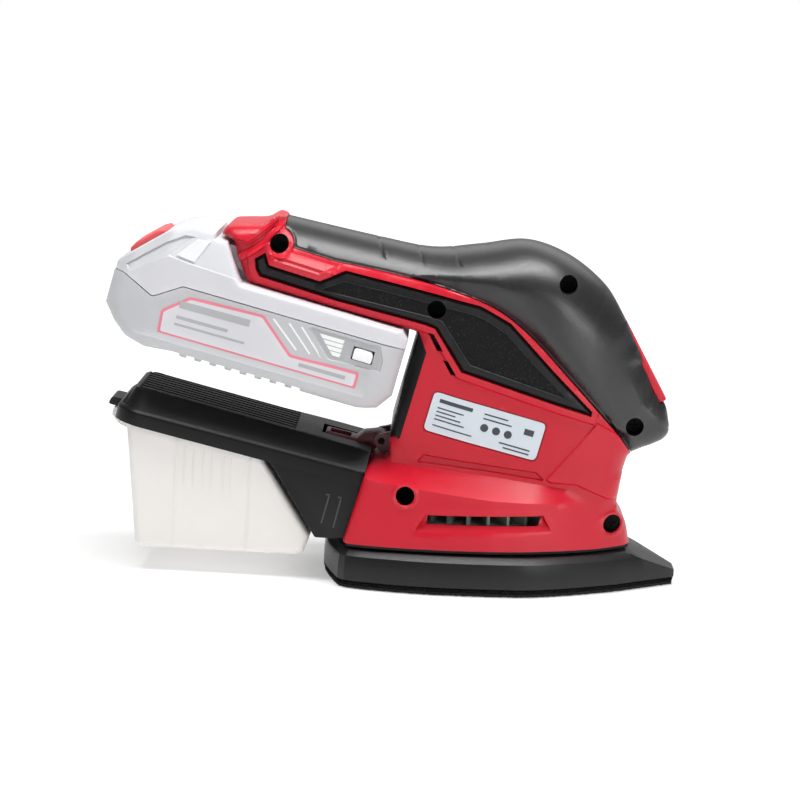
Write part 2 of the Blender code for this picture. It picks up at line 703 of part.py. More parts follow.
def make_foot():
    outline = foot_outline()
    layers = (("abrasive_sheet", 0.0, SHEET_TOP, -0.4, ((96, 52, 40), 0.95)),
              ("hook_layer", SHEET_TOP + FIT, HOOK_TOP, 0.0, RUBBER))
    for name, low, high, by, finish in layers:
        layer = cut(upward(name, grown(outline, by), low, high), *dust_holes(-2, 6))
        paint(set_origin(layer, (ORBIT, 0, 0)), *finish)
    pad = upward("sanding_pad", outline, PAD_BOTTOM, PAD_TOP)
    slope = [(TIP_SLOPE_START, PAD_TOP), (TIP_SLOPE_START, 30), (100, 30), (100, TIP_TOP - 5.5), (86.2, TIP_TOP)]
    cut(pad, across("tip_slope", slope, -60, 60))
    cut(pad, lathe("recess", [(14.6, 10.8), (25.5, 10.8), (25.5, 22), (0, 22), (0, 14.2), (14.6, 14.2)]))
    cut(pad, lathe("bearing_bore", [(0, 6.7), (11.3, 6.7), (11.3, 22), (0, 22)], (ORBIT, 0)))
    cut(pad, *dust_holes(0, 30))
    paint(set_origin(pad, (ORBIT, 0, PAD_BOTTOM)), *BLACK)
    for word, x, y in RUBBER_FEET:
        foot = rod("rubber_foot_" + word, 4.4, (x, y, PAD_TOP + FIT), (x, y, WEB_BOTTOM - FIT), 18)
        paint(foot, *RUBBER)


def make_seal():
    places = (65.0, 60.0, 51.0, 36.0, 21.0, 6.0, -12.0, -27.0, -42.0, -50.0, -54.5)
    half = [(x, between(SKIRT_WIDTHS, x) - 1.4) for x in places]
    outline = half + [(x, -y) for x, y in half[::-1]]
    seal = upward("skirt_seal", outline, 16.9, SKIRT_BOTTOM - FIT)
    cut(seal, upward("seal_way", grown(outline, -3.0), 10, 25))
    paint(seal, *RUBBER)


# ---- electrics ------------------------------------------------------------------------------

def make_wire(name, points, radius=1.2):
    """A plain insulated lead, swept along a smooth line."""
    path = [Vector(p) for p in smooth(points, 4)]
    rings = []
    for i, point in enumerate(path):
        ahead = path[min(i + 1, len(path) - 1)] - path[max(i - 1, 0)]
        turn = ahead.to_track_quat("Z", "Y")
        rings.append([point + turn @ Vector((radius * math.cos(a), radius * math.sin(a), 0))
                      for a in (math.radians(45 * k) for k in range(8))])
    points = [p for ring in rings for p in ring]
    faces = [tuple(range(8)), tuple(range(len(points) - 8, len(points)))]
    for i in range(len(rings) - 1):
        for k in range(8):
            faces.append((8 * i + k, 8 * i + (k + 1) % 8, 8 * i + 8 + (k + 1) % 8, 8 * i + 8 + k))
    return solid(name, points, faces)


def make_electrics():
    terminal = [on_battery(67, 4.2), on_battery(73.0, 4.2), on_battery(73.0, 13.2), on_battery(67, 13.2)]
    paint(across("terminal_block", terminal, -17, 17), *BLACK)
    for number, y in enumerate((-8.0, 0.0, 8.0), 1):
        blade = [on_battery(59.8, 6.4), on_battery(66.7, 6.4), on_battery(66.7, 10.4), on_battery(59.8, 10.4)]
        paint(across("terminal_blade_%d" % number, blade, y - 0.4, y + 0.4), *COPPER)
    board = [(24.0, 64.0), (25.6, 64.0), (25.6, 102.0), (24.0, 102.0)]
    paint(across("controller_board", board, -17, 17), (28, 74, 46), 0.5)
    paint(rod("board_capacitor", 5.0, (26.0, -9.5, 95), (40.0, -9.5, 95)), *BLACK)
    handle_lead = [(-24.5, 11.5, 117.5), (-16, 13.5, 125), (0, 13, 128), (14, 12, 122), (23, 11, 113),
                   (31, 9, 104), (38, 4, 94), (45.3, 0, 85.2)]
    paint(make_wire("battery_lead", handle_lead), (190, 30, 36), 0.5)
    motor_lead = [(27.2, 1, 72), (31.5, 1, 82), (30, 1, 98), (25, -1, 108), (19, -5, 117), (10, -6, 118.5),
                  (7.5, -6, 113.6)]
    paint(make_wire("motor_lead", motor_lead), *RUBBER)


# ---- battery --------------------------------------------------------------------------------

def battery_prism(name, profile, half_width):
    """A (u, v) outline across the battery."""
    return across(name, [on_battery(u, v) for u, v in profile], -half_width, half_width)


def make_battery():
    base = [(-54.4, -7.4), (-54.4, -6.0), (-46.0, -1.0), (-33.0, 2.4), (-3.0, 1.0), (-2.0, -0.6), (72.0, -0.6),
            (72.0, -7.4)]
    upper = battery_prism("battery_upper_case", base, BATTERY_HALF_WIDTH)
    hump = [(-54.2, -7.2), (-54.2, -5.4), (-36.3, 12.6), (-28.0, 16.8), (-18.0, 16.8), (-18.0, 14.2),
            (-12.6, 14.2), (-3.2, 0.0), (-3.2, -7.2)]
    join(upper, battery_prism("hump", hump, 27.0))
    join(upper, battery_prism("rail_stem", [(-14, -3), (57, -3), (57, 6), (-14, 6)], 17.3))
    join(upper, battery_prism("rail_flange", [(-13, 4.0), (57, 4.0), (57, 12.8), (-13, 12.8)], 20.3))
    cut(upper, battery_prism("inside", [(-50, -9.0), (54, -9.0), (54, -3.2), (-36, -3.2)], 34.0))
    pocket = [(-47.2, -7.0), (-34.2, 5.9), (-53.0, 24.7), (-66.0, 11.8)]
    cut(upper, battery_prism("button_pocket", pocket, 17.0))
    paint(upper, *PALE)
    button = [(-48.9, -4.4), (-37.1, 7.5), (-40.2, 10.7), (-43.0, 9.1), (-50.1, 2.1), (-52.0, -1.3)]
    release = battery_prism("battery_release_button", button, 16.4)
    centre = on_battery(-46.0, 4.5)
    paint(set_origin(release, (centre[0], 0, centre[1])), *RED)
    tub = [(-54.8, -7.8), (-54.8, -24.0), (-49.0, -30.0), (-43.0, -34.6), (-34.0, -36.4), (58.0, -36.4),
           (67.0, -34.6), (72.0, -28.0), (72.0, -7.8)]
    lower = battery_prism("battery_lower_case", tub, BATTERY_HALF_WIDTH)
    well = [(-52.4, -4.0), (-52.4, -23.4), (-42.0, -32.2), (-33.4, -34.0), (57.6, -34.0), (65.8, -32.6),
            (69.6, -27.2), (69.6, -4.0)]
    cut(lower, battery_prism("well", well, BATTERY_HALF_WIDTH - 2.4))
    paint(lower, *PALE_GREY)
    for number in range(5):
        x, z = on_battery((number - 2) * CELL_PITCH, -21.5)
        half = CELL_LENGTH / 2
        cell = rod("battery_cell_%d" % (number + 1), CELL_RADIUS, (x, -half, z), (x, half, z), 24)
        paint(cell, (70, 120, 170), 0.4)
    contact_side = [(57.4, 5.0), (65.8, 5.0), (65.8, 12.0), (57.4, 12.0)]
    contact = battery_prism("battery_contact_block", contact_side, 15.0)
    for y in (-8.0, 0.0, 8.0):
        slot = [on_battery(59.0, 5.9), on_battery(70, 5.9), on_battery(70, 11.0), on_battery(59.0, 11.0)]
        cut(contact, across("contact_slot", slot, y - 1.2, y + 1.2))
    paint(contact, *BLACK)
    make_battery_trim()


def make_battery_trim():
    """The plates on the battery's right side, and the gauge button in its own hole."""
    outer = -BATTERY_HALF_WIDTH
    plate = [on_battery(u, v) for u, v in ((-32, -28), (-24, -9.5), (8, -9.5), (16, -21), (48, -20), (47, -28))]
    paint(across("battery_label", plate, outer - 0.5, outer - 0.05), *PALE)
    panel_side = [on_battery(u, v) for u, v in ((24, -11), (62, -9.5), (60, -18.5), (30, -18.5))]
    panel = across("gauge_panel", panel_side, outer - 0.9, outer - 0.05)
    hole = [on_battery(u, v) for u, v in ((50.0, -11.6), (59.0, -11.6), (59.0, -17.2), (50.0, -17.2))]
    cut(panel, across("gauge_hole", hole, outer - 4, outer + 4))
    lower = bpy.data.objects["battery_lower_case"]
    cut(lower, across("gauge_hole", hole, outer - 4, outer + 6))
    paint(panel, *PALE_GREY)
    paint(set_origin(across("gauge_button", grown(hole, -0.4), outer - 1.3, outer + 1.0),
                     (hole[0][0], outer, hole[0][1])), *PALE)


# ---- dust box -------------------------------------------------------------------------------

def lid_section(u):
    """The lid's cross-section at a place u along it: a rim, a sloping shoulder and a raised flat."""
    half = LID_HALF_WIDTH
    right = [(-half, -9.4), (-half, -1.0), (-half + 1.6, 0.4), (-23.5, 3.4), (-21.5, 4.2)]
    section = right + [(-y, v) for y, v in reversed(right)]
    return [(on_lid(u, v)[0], y, on_lid(u, v)[1]) for y, v in section]


def make_lid():
    lid = prism("dust_box_lid", lid_section(-106.0), lid_section(0.0))
    inside_lid = [on_lid(-103.6, -14), on_lid(-41.6, -14), on_lid(-41.6, -1.6), on_lid(-103.6, -1.6)]
    cut(lid, across("lid_inside", inside_lid, -33.6, 33.6))
    neck = [on_lid(-40.0, -1.2), (-88.4, 49.6), (-68.1, 18.2), (-56.8, 18.2), on_lid(-0.5, -1.2)]
    join(lid, across("neck", neck, -34.8, 34.8))
    spout = [(-86.0, 47.0), (-80.0, 25.0), (-40.0, 25.0), (-40.0, 35.0), (-62.0, 35.0), (-74.0, 47.0)]
    cut(lid, across("spout", spout, -10.5, 10.5))
    slot = [on_lid(-22.0, 0.6), on_lid(3.0, 0.6), on_lid(3.0, 8.0), on_lid(-22.0, 8.0)]
    cut(lid, across("latch_slot", slot, -7.4, 7.4))
    tab = [on_lid(-112.0, -4.6), on_lid(-105.0, -4.6), on_lid(-105.0, -1.2), on_lid(-112.0, -1.6)]
    join(lid, across("tab", tab, -9.0, 9.0))
    front_trim = [(-56.6, 18.2), (-47.9, 50.2), (-20.0, 50.2), (-20.0, 5.0), (-60.2, 5.0)]
    cut(lid, across("front_trim", front_trim, -60, 60))
    paint(set_origin(lid, (LID_ORIGIN[0], 0, LID_ORIGIN[1])), *BLACK)


def box_outline(inset):
    """The container's side outline, moved in by a wall where asked and then open at the top."""
    top = 6.0 if inset else -2.4
    rear, front = on_lid(-102.0 + inset, top), on_lid(-42.6 - inset, top)
    elbow_rear, elbow_front = on_lid(-102.0 + inset, -9.9), on_lid(-42.6 - inset, -9.9)
    bottom = 9.4 + inset
    return [
        rear, elbow_rear, (-144.2 + inset, bottom + 2.4), (-142.0 + inset, bottom), (-75.4 - inset, bottom),
        (-72.6 - inset, bottom + 1.6), (-70.2 - inset * 1.2, 18.4), elbow_front, front,
    ]


def make_dust_box():
    make_lid()
    box = across("dust_container", box_outline(0.0), -BOX_HALF_WIDTH, BOX_HALF_WIDTH)
    cut(box, across("box_inside", box_outline(BOX_WALL), -BOX_HALF_WIDTH + BOX_WALL, BOX_HALF_WIDTH - BOX_WALL))
    cut(box, block("inlet", (-92.0, -10.0, 27.0), (-70.0, 10.0, 44.0)))
    lip = [(-101.0, -13.5), (-101.0, -10.0), (-106.6, -10.0), (-106.6, -5.6), (-110.5, -5.6), (-110.5, -9.5),
           (-107.0, -12.5)]
    join(box, across("lip", [on_lid(u, v) for u, v in lip], -8.0, 8.0))
    paint(set_origin(box, (-108.0, 0, 40.0)), *MILKY)
    make_filter()


def make_filter():
    pleats = []
    for i in range(FILTER_PLEATS):
        u = -92.0 + i * PLEAT_PITCH
        pleats += [on_lid(u, -14.5), on_lid(u + PLEAT_PITCH / 2, -30.0)]
    outline = [on_lid(-94.0, -11.0), *pleats, on_lid(-52.0, -11.0)]
    paint(across("dust_filter", outline, -FILTER_HALF_WIDTH, FILTER_HALF_WIDTH), (222, 216, 200), 0.9)


def make_latch():
    x, z = LATCH_PIN
    lever = [on_lid(-20.5, 1.2), on_lid(-8.0, 1.2), on_lid(1.0, 1.2), (x - 1.4, z - 3.2), (x + 2.0, z - 2.6),
             (x + 3.0, z), (x + 2.0, z + 2.6), (x - 1.0, z + 3.2), (-50.5, 58.6), (-52.4, 57.2),
             on_lid(-7.0, 3.6), on_lid(-20.5, 3.6)]
    latch = across("dust_latch", lever, -6.8, 6.8)
    cut(latch, pin_bore())
    paint(set_origin(latch, (x, 0, z)), (110, 26, 40), 0.5)
    paint(rod("latch_pin", PIN_RADIUS, (x, -10.4, z), (x, 10.4, z), 16), *STEEL)


def main():
    for obj in list(bpy.data.objects):
        bpy.data.objects.remove(obj)
    bpy.context.scene.unit_settings.system = "METRIC"
    make_shells()
    make_screws()
    make_switch()
    make_motor()
    make_drive()
    make_foot()
    make_seal()
    make_electrics()
    make_battery()
    make_dust_box()
    make_latch()


main()
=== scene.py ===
"""Looks of the cordless detail mouse sander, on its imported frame.

Shells, battery and dust box are made again here with a fine surface, in the places the frame
gives them. Shapes are in millimetres, in the frame's axes, and MM turns them into metres.
"""

import json
import math
import random

import bmesh
import bpy
import numpy as np
from mathutils import Matrix, Vector
from mathutils.geometry import delaunay_2d_cdt

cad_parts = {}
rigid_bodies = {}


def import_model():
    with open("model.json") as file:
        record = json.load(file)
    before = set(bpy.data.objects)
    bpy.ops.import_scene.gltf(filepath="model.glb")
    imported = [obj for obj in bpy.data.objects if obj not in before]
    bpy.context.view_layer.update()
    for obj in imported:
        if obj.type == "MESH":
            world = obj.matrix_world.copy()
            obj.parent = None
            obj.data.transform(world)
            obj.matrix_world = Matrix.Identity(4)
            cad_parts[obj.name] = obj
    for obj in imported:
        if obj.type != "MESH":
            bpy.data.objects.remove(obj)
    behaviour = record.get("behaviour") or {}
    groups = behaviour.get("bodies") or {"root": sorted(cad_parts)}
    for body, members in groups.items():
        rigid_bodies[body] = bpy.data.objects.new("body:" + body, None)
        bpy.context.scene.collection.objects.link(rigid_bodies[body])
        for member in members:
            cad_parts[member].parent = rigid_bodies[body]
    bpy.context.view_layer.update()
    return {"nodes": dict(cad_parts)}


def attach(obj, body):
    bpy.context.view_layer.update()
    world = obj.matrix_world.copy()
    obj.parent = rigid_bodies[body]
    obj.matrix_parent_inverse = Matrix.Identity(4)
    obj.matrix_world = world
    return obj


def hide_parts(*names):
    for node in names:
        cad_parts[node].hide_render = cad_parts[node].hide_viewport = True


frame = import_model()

MM = 0.001
RIGHT, LEFT = -1, 1
NODES = frame["nodes"]

for extra in [o for o in bpy.data.objects if o.name in ("Cube", "Camera", "Light")]:
    bpy.data.objects.remove(extra)

# ---- dimensions shared with the frame ----

SKIRT_BOTTOM = 18.2
PARTING = 0.05  # half the seam between the two halves
PAST_PARTING = -3  # where a half's inner sheet lies before other_side() trims it
GRIP_DEPTH, INLAY_DEPTH, LABEL_DEPTH = 2.5, 1.5, 0.4
FIT = 0.3
WALL, DEEP_WALL = 2.8, 5.4
WEB_BOTTOM, WEB_TOP, WEB_HOLE_RADIUS = 36, 41, 24.4
SCREW_PLACES = ((-89, 139.8), (-22.1, 116.2), (32.2, 129.1), (64, 70), (-31, 39.9), (57, 28.1))
SCREW_HEAD_PLACES = (-12, -12, -12, -10, -20, -14)
BOSS_RADIUS, COUNTERBORE_RADIUS, SHANK_RADIUS = 4.8, 3.9, 1.6
BATTERY_TILT, BATTERY_ORIGIN, BATTERY_HALF = math.radians(13.2), (-101.4, 123), 38
LID_TILT, LID_ORIGIN = math.radians(12), (-47.5, 50.3)
BOX_HALF, BOX_WALL = 32.8, 1.8
FACE_TILT, FACE_ORIGIN = math.radians(59.7), (66.8, 97.7)
LATCH_PIN, PIN_RADIUS = (-42.6, 56.4), 1.2
ORBIT = 1
BOSS_GAP = 2.5  # from a screw boss's end out to the face under the grip
GRIP_SUNK, SCOOP_DEPTH = 2.1, 2.1  # the deepest that details go into the grip, and the window's scoop
# Painted shade: red faces deeper than this under the skin are painted black, for the dark inside seen through
# the slots.
SHADE_PAINT_DEPTH = 2.2  # how far under the skin a shell's faces are painted black
LUG_SIDES = (7.4, 10.6)
LID_NECK_HALF = 35.9
DUST_HOLE_RADIUS = 4
SIDES = (("right", RIGHT), ("left", LEFT))
FAR, TINY, SAME_POINT = 1e6, 1e-6, 1e-3

HALF_WIDTHS = ((-116, 23), (-108, 26.5), (-30, 28), (-10, 31), (30, 31.5), (45, 28.5), (60, 21), (66, 19),
               (80, 15.5))
SKIRT_WIDTHS = ((-58, 42.6), (-50, 45), (-42, 46.5), (-27, 47.4), (-12, 47.2), (6, 45.2), (21, 41.6),
                (36, 35.6), (51, 27.2), (60, 19.5), (65, 14.5), (67, 12))
SKIRT_DRAFT = 0.10
LEDGE_LOW = ((-58, 46), (-46, 45.3), (6, 39.2), (36, 37.6), (52, 33.6), (60, 30), (67, 26.5))
LEDGE_HIGH = ((-58, 52), (-38, 50.6), (4, 47.6), (35, 43.8), (52, 39), (60, 33.5), (67, 29.5))


# ---- curves and outlines ----

def smooth(points, steps=4):
    """A curve through the points, which keeps both end points."""
    padded = [points[0], *points, points[-1]]
    curve = []
    for a, b, c, d in zip(padded, padded[1:], padded[2:], padded[3:]):
        for step in range(steps):
            t = step / steps
            curve.append(tuple(
                0.5 * (2 * q + (r - p) * t + (2 * p - 5 * q + 4 * r - s) * t * t
                       + (3 * q - p - 3 * r + s) * t ** 3)
                for p, q, r, s in zip(a, b, c, d)
            ))
    return curve + [tuple(points[-1])]


def arc(centre, radius, start, end, count):
    """Points of an arc, its angles in degrees."""
    angles = [math.radians(start + (end - start) * i / (count - 1)) for i in range(count)]
    return [(centre[0] + radius * math.cos(a), centre[1] + radius * math.sin(a)) for a in angles]


def closed(points):
    return [*points, points[0]]


def circle(centre, radius, count=28):
    return closed(arc(centre, radius, 0, 360 * (count - 1) / count, count))


def rectangle(a0, a1, b0, b1):
    return [(a0, b0), (a1, b0), (a1, b1), (a0, b1)]


def mapped(on, points):
    """Points of a tilted line's axes as XZ points."""
    return [on(u, v) for u, v in points]


def tilted(origin, tilt, u, v):
    """The XZ point at u along and v above a line that falls by tilt towards +X."""
    return (
        origin[0] + u * math.cos(tilt) + v * math.sin(tilt),
        origin[1] - u * math.sin(tilt) + v * math.cos(tilt),
    )


def on_battery(u, v):
    return tilted(BATTERY_ORIGIN, BATTERY_TILT, u, v)


def on_lid(u, v):
    return tilted(LID_ORIGIN, LID_TILT, u, v)


def on_face(t, n):
    return tilted(FACE_ORIGIN, FACE_TILT, t, n)


def grown(outline, by):
    """An outline moved outwards by a small amount."""
    area = sum(x0 * z1 - x1 * z0 for (x0, z0), (x1, z1) in zip(outline, outline[1:] + outline[:1]))
    turn = 1 if area > 0 else -1
    points = []
    for before, here, after in zip(outline[-1:] + outline[:-1], outline, outline[1:] + outline[:1]):
        first = Vector((here[0] - before[0], here[1] - before[1])).normalized()
        second = Vector((after[0] - here[0], after[1] - here[1])).normalized()
        mean = (first + second).normalized()
        reach = by / max(0.35, mean.dot(first))
        points.append((here[0] + turn * mean.y * reach, here[1] - turn * mean.x * reach))
    return points


def lines_inside(outline, *insets):
    """Closed lines at several distances inside an outline."""
    return [closed(grown(outline, -inset)) for inset in insets]


def with_inner(outline, inset):
    """The closed lines along an outline and at a distance inside it."""
    return [closed(outline), *lines_inside(outline, inset)]


def beside(line, by):
    """An open line moved sideways."""
    moved = []
    for i, (x, z) in enumerate(line):
        before, after = line[max(0, i - 1)], line[min(len(line) - 1, i + 1)]
        run = Vector((after[0] - before[0], after[1] - before[1])).normalized()
        moved.append((x - run.y * by, z + run.x * by))
    return moved


def rounded(outline, radius, count=5, sharp=()):
    """An outline with its corners turned into short curves."""
    points = []
    for before, here, after in zip(outline[-1:] + outline[:-1], outline, outline[1:] + outline[:1]):
        a, b, c = Vector(before), Vector(here), Vector(after)
        back, on = a - b, c - b
        if here in sharp or back.angle(on, math.pi) > math.radians(172):
            points.append(tuple(b))
            continue
        reach = min(radius, 0.45 * back.length, 0.45 * on.length)
        start, end = b + back.normalized() * reach, b + on.normalized() * reach
        for i in range(count):
            t = i / (count - 1)
            points.append(tuple(start * (1 - t) ** 2 + b * (2 * t * (1 - t)) + end * t ** 2))
    return points


def dense(line, step):
    """A line with points added so that none is further than step from the next."""
    points = [tuple(line[0])]
    for a, b in zip(line, line[1:]):
        length = math.dist(a, b)
        count = max(1, math.ceil(length / step - 0.01))
        for i in range(1, count + 1):
            t = i / count
            points.append((a[0] + (b[0] - a[0]) * t, a[1] + (b[1] - a[1]) * t))
    return points


def contains(outline, points):
    """Which of an array of points lie inside an outline."""
    x, z = points[:, 0], points[:, 1]
    hit = np.zeros(len(points), bool)
    for (x0, z0), (x1, z1) in zip(outline, outline[1:] + outline[:1]):
        if z0 != z1:
            hit ^= ((z0 > z) != (z1 > z)) & (x < x0 + (x1 - x0) * (z - z0) / (z1 - z0))
    return hit


def distances(x, z, line):
    """How far each point lies from an open line."""
    nearest = np.full(x.shape, FAR)
    for (x0, z0), (x1, z1) in zip(line, line[1:]):
        dx, dz = x1 - x0, z1 - z0
        along = np.clip(((x - x0) * dx + (z - z0) * dz) / max(dx * dx + dz * dz, 1e-9), 0, 1)
        nearest = np.minimum(nearest, np.hypot(x - x0 - along * dx, z - z0 - along * dz))
    return nearest


def depth_in(x, z, outline):
    """How far each point lies inside an outline, negative outside it."""
    away = distances(x, z, closed(outline))
    return np.where(contains(list(outline), np.column_stack((x, z))), away, -away)


def ramp(t):
    t = np.clip(t, 0, 1)
    return t * t * (3 - 2 * t)


def eased(table, blur, step=0.5):
    """A table of (x, value) rows as a function with its corners rounded off."""
    places = np.arange(-170, 130, step)
    values = np.interp(places, *zip(*table))
    reach = int(3 * blur / step)
    kernel = np.exp(-0.5 * (np.arange(-reach, reach + 1) * step / blur) ** 2)
    padded = np.pad(values, reach, mode="edge")
    soft = np.convolve(padded, kernel / kernel.sum(), mode="valid")
    return lambda x: np.interp(x, places, soft)


# ---- meshes ----

def add_object(name, data):
    obj = bpy.data.objects.new(name, data)
    bpy.context.scene.collection.objects.link(obj)
    return obj


def solid(name, points, faces):
    """An object from points in millimetres, its faces turned outwards."""
    mesh = bpy.data.meshes.new(name)
    mesh.from_pydata([(x * MM, y * MM, z * MM) for x, y, z in points], [], faces)
    shape = bmesh.new()
    shape.from_mesh(mesh)
    bmesh.ops.delete(shape, geom=[v for v in shape.verts if not v.link_faces], context="VERTS")
    bmesh.ops.remove_doubles(shape, verts=shape.verts, dist=TINY)
    bmesh.ops.recalc_face_normals(shape, faces=shape.faces)
    shape.to_mesh(mesh)
    shape.free()
    return add_object(name, mesh)


def stack(name, rings):
    """A solid through two or more rings of points that correspond."""
    count, total = len(rings[0]), len(rings[0]) * len(rings)
    faces = [(base + i, base + (i + 1) % count, base + count + (i + 1) % count, base + count + i)
             for base in range(0, total - count, count) for i in range(count)]
    faces += [tuple(range(count)), tuple(range(total - count, total))]
    return solid(name, [p for ring in rings for p in ring], faces)


def across(name, outline, y0, y1):
    return stack(name, [[(x, y, z) for x, z in outline] for y in (y0, y1)])


def upward(name, outline, z0, z1):
    return stack(name, [[(x, y, z) for x, y in outline] for z in (z0, z1)])


def block(name, low, high):
    (x0, y0, z0), (x1, y1, z1) = low, high
    return upward(name, rectangle(x0, x1, y0, y1), z0, z1)


def rod(name, radius, start, end, segments=32):
    """A round bar between two points."""
    start, end = Vector(start), Vector(end)
    turn = (end - start).to_track_quat("Z", "Y")
    angles = [2 * math.pi * i / segments for i in range(segments)]
    ring = [turn @ Vector((radius * math.cos(a), radius * math.sin(a), 0)) for a in angles]
    return stack(name, [[centre + p for p in ring] for centre in (start, end)])


def crossbar(name, centre, radius, y0, y1, segments=32):
    """A round bar along Y."""
    x, z = centre
    return rod(name, radius, (x, y0, z), (x, y1, z), segments)


def bevel(obj, width, segments=3, angle=28):
    """Rounds every edge that turns by more than an angle."""
    shape = bmesh.new()
    shape.from_mesh(obj.data)
    edges = [e for e in shape.edges if len(e.link_faces) == 2 and e.calc_face_angle() > math.radians(angle)]
    bmesh.ops.bevel(shape, geom=edges, offset=width * MM, segments=segments, profile=0.5, affect="EDGES",
                    clamp_overlap=True)
    bmesh.ops.remove_doubles(shape, verts=shape.verts, dist=TINY)
    shape.to_mesh(obj.data)
    shape.free()
    return obj


def combine(target, tool, operation):
    """Applies one Boolean and removes its tool."""
    before = len(target.data.vertices)
    for solver in ("MANIFOLD", "EXACT"):
        modifier = target.modifiers.new(operation, "BOOLEAN")
        modifier.operation = operation
        modifier.solver = solver
        modifier.object = tool
        bpy.context.view_layer.update()
        result = bpy.data.meshes.new_from_object(target.evaluated_get(bpy.context.evaluated_depsgraph_get()))
        target.modifiers.clear()
        if len(result.vertices) not in (0, before):
            break
    result.materials.clear()
    result.polygons.foreach_set("material_index", np.zeros(len(result.polygons), np.int32))
    target.data = result
    bpy.data.objects.remove(tool)
    return target


def cut(target, *tools):
    for tool in tools:
        combine(target, tool, "DIFFERENCE")
    return target


def join(target, *tools):
    for tool in tools:
        combine(target, tool, "UNION")
    return target


def place(obj, origin, tilt):
    """Turns an object made in the (u, y, v) axes of a tilted line into the frame."""
    move = Matrix.Translation((origin[0] * MM, 0, origin[1] * MM))
    obj.data.transform(move @ Matrix.Rotation(tilt, 4, "Y"))
    return obj


def on_grid(outline, spacing):
    """Rows of points over an outline's box, every other row shifted by half a step."""
    points = np.array(outline)
    low, high = points.min(0), points.max(0)
    rows = []
    for k, b in enumerate(np.arange(low[1], high[1], spacing * 0.87)):
        a = np.arange(low[0] + (k % 2) * spacing / 2, high[0], spacing)
        rows.append(np.column_stack((a, np.full(a.shape, b))))
    return np.concatenate(rows)


def triangulate(outline, spacing, lines=(), extra=None):
    """Points and triangles over an outline, with edges along the given lines."""
    outline = dense(closed(list(outline)), spacing)[:-1]
    flat = list(outline)
    edges = []
    for line in lines:
        run = dense(line, spacing)
        kept = contains(outline, np.array(run))
        base = len(flat)
        flat += run
        edges += [(base + i, base + i + 1) for i in range(len(run) - 1) if kept[i] and kept[i + 1]]
    fixed = np.array(flat)
    if extra is not None and len(extra):
        extra = extra[contains(outline, extra)]
        fixed = np.concatenate((fixed, extra))
    grid = on_grid(outline, spacing)
    grid = grid[contains(outline, grid)]
    cell = spacing * 0.6
    taken = set(map(tuple, np.floor(fixed / cell).astype(int).tolist()))
    places = np.floor(grid / cell).astype(int).tolist()
    clear = [not any((a + i, b + j) in taken for i in (-1, 0, 1) for j in (-1, 0, 1)) for a, b in places]
    everything = np.concatenate((fixed, grid[np.array(clear, bool)])) if any(clear) else fixed
    flat = [Vector(p) for p in everything.tolist()]
    found, _, triangles, *_ = delaunay_2d_cdt(flat, edges, [list(range(len(outline)))], 0, 1e-4)
    found = np.array([(p.x, p.y) for p in found])
    triangles = np.array([t for t in triangles if len(t) == 3])
    triangles = triangles[contains(outline, found[triangles].mean(1))]
    return found, triangles


def two_sheets(triangles, count, base=0):
    """Faces over two sheets of count points each, and the walls between their borders."""
    edges = np.sort(np.concatenate((triangles[:, :2], triangles[:, 1:], triangles[:, ::2])), 1)
    unique, uses = np.unique(edges, axis=0, return_counts=True)
    walls = [(p, q, q + count, p + count) for p, q in (unique[uses == 1] + base).tolist()]
    return (triangles + base).tolist() + (triangles[:, ::-1] + base + count).tolist() + walls


def slab(name, outline, near, far, spacing, lines=(), extra=None, plan=False):
    """The solid between the sheets near and far over an outline.

    The outline lies in XZ and the sheets say y, or it lies in XY and they say z if plan is set.
    """
    flat, triangles = triangulate(outline, spacing, lines, extra)
    a, b = flat[:, 0], flat[:, 1]
    points = []
    for height in (near(a, b), far(a, b)):
        points += np.column_stack((a, b, height) if plan else (a, height, b)).tolist()
    return solid(name, points, two_sheets(triangles, len(flat)))


def battery_bar(name, profile, half_width):
    """A (u, v) outline of the battery's axes, made across the body in the frame's axes."""
    return across(name, mapped(on_battery, profile), -half_width, half_width)


def latch_bore():
    return crossbar("pin_bore", LATCH_PIN, PIN_RADIUS + FIT, -14, 14, 20)


def level(value):
    """A flat sheet."""
    return lambda a, b: np.full(a.shape, float(value))


def shade(obj, angle=34):
    """Smooth shading with edges kept sharp where the surface turns."""
    obj.data.shade_smooth()
    obj.data.set_sharp_from_angle(angle=math.radians(angle))
    return obj


# ---- materials ----

def linear(colour):
    return tuple(c / 255 / 12.92 if c < 11 else ((c / 255 + 0.055) / 1.055) ** 2.4 for c in colour)


def map_range(tree, source, low, high, start, end):
    """The output of a node that takes low to start and high to end."""
    node = tree.nodes.new("ShaderNodeMapRange")
    for key, value in (("From Min", low), ("From Max", high), ("To Min", start), ("To Max", end)):
        node.inputs[key].default_value = value
    tree.links.new(source, node.inputs["Value"])
    return node.outputs["Result"]


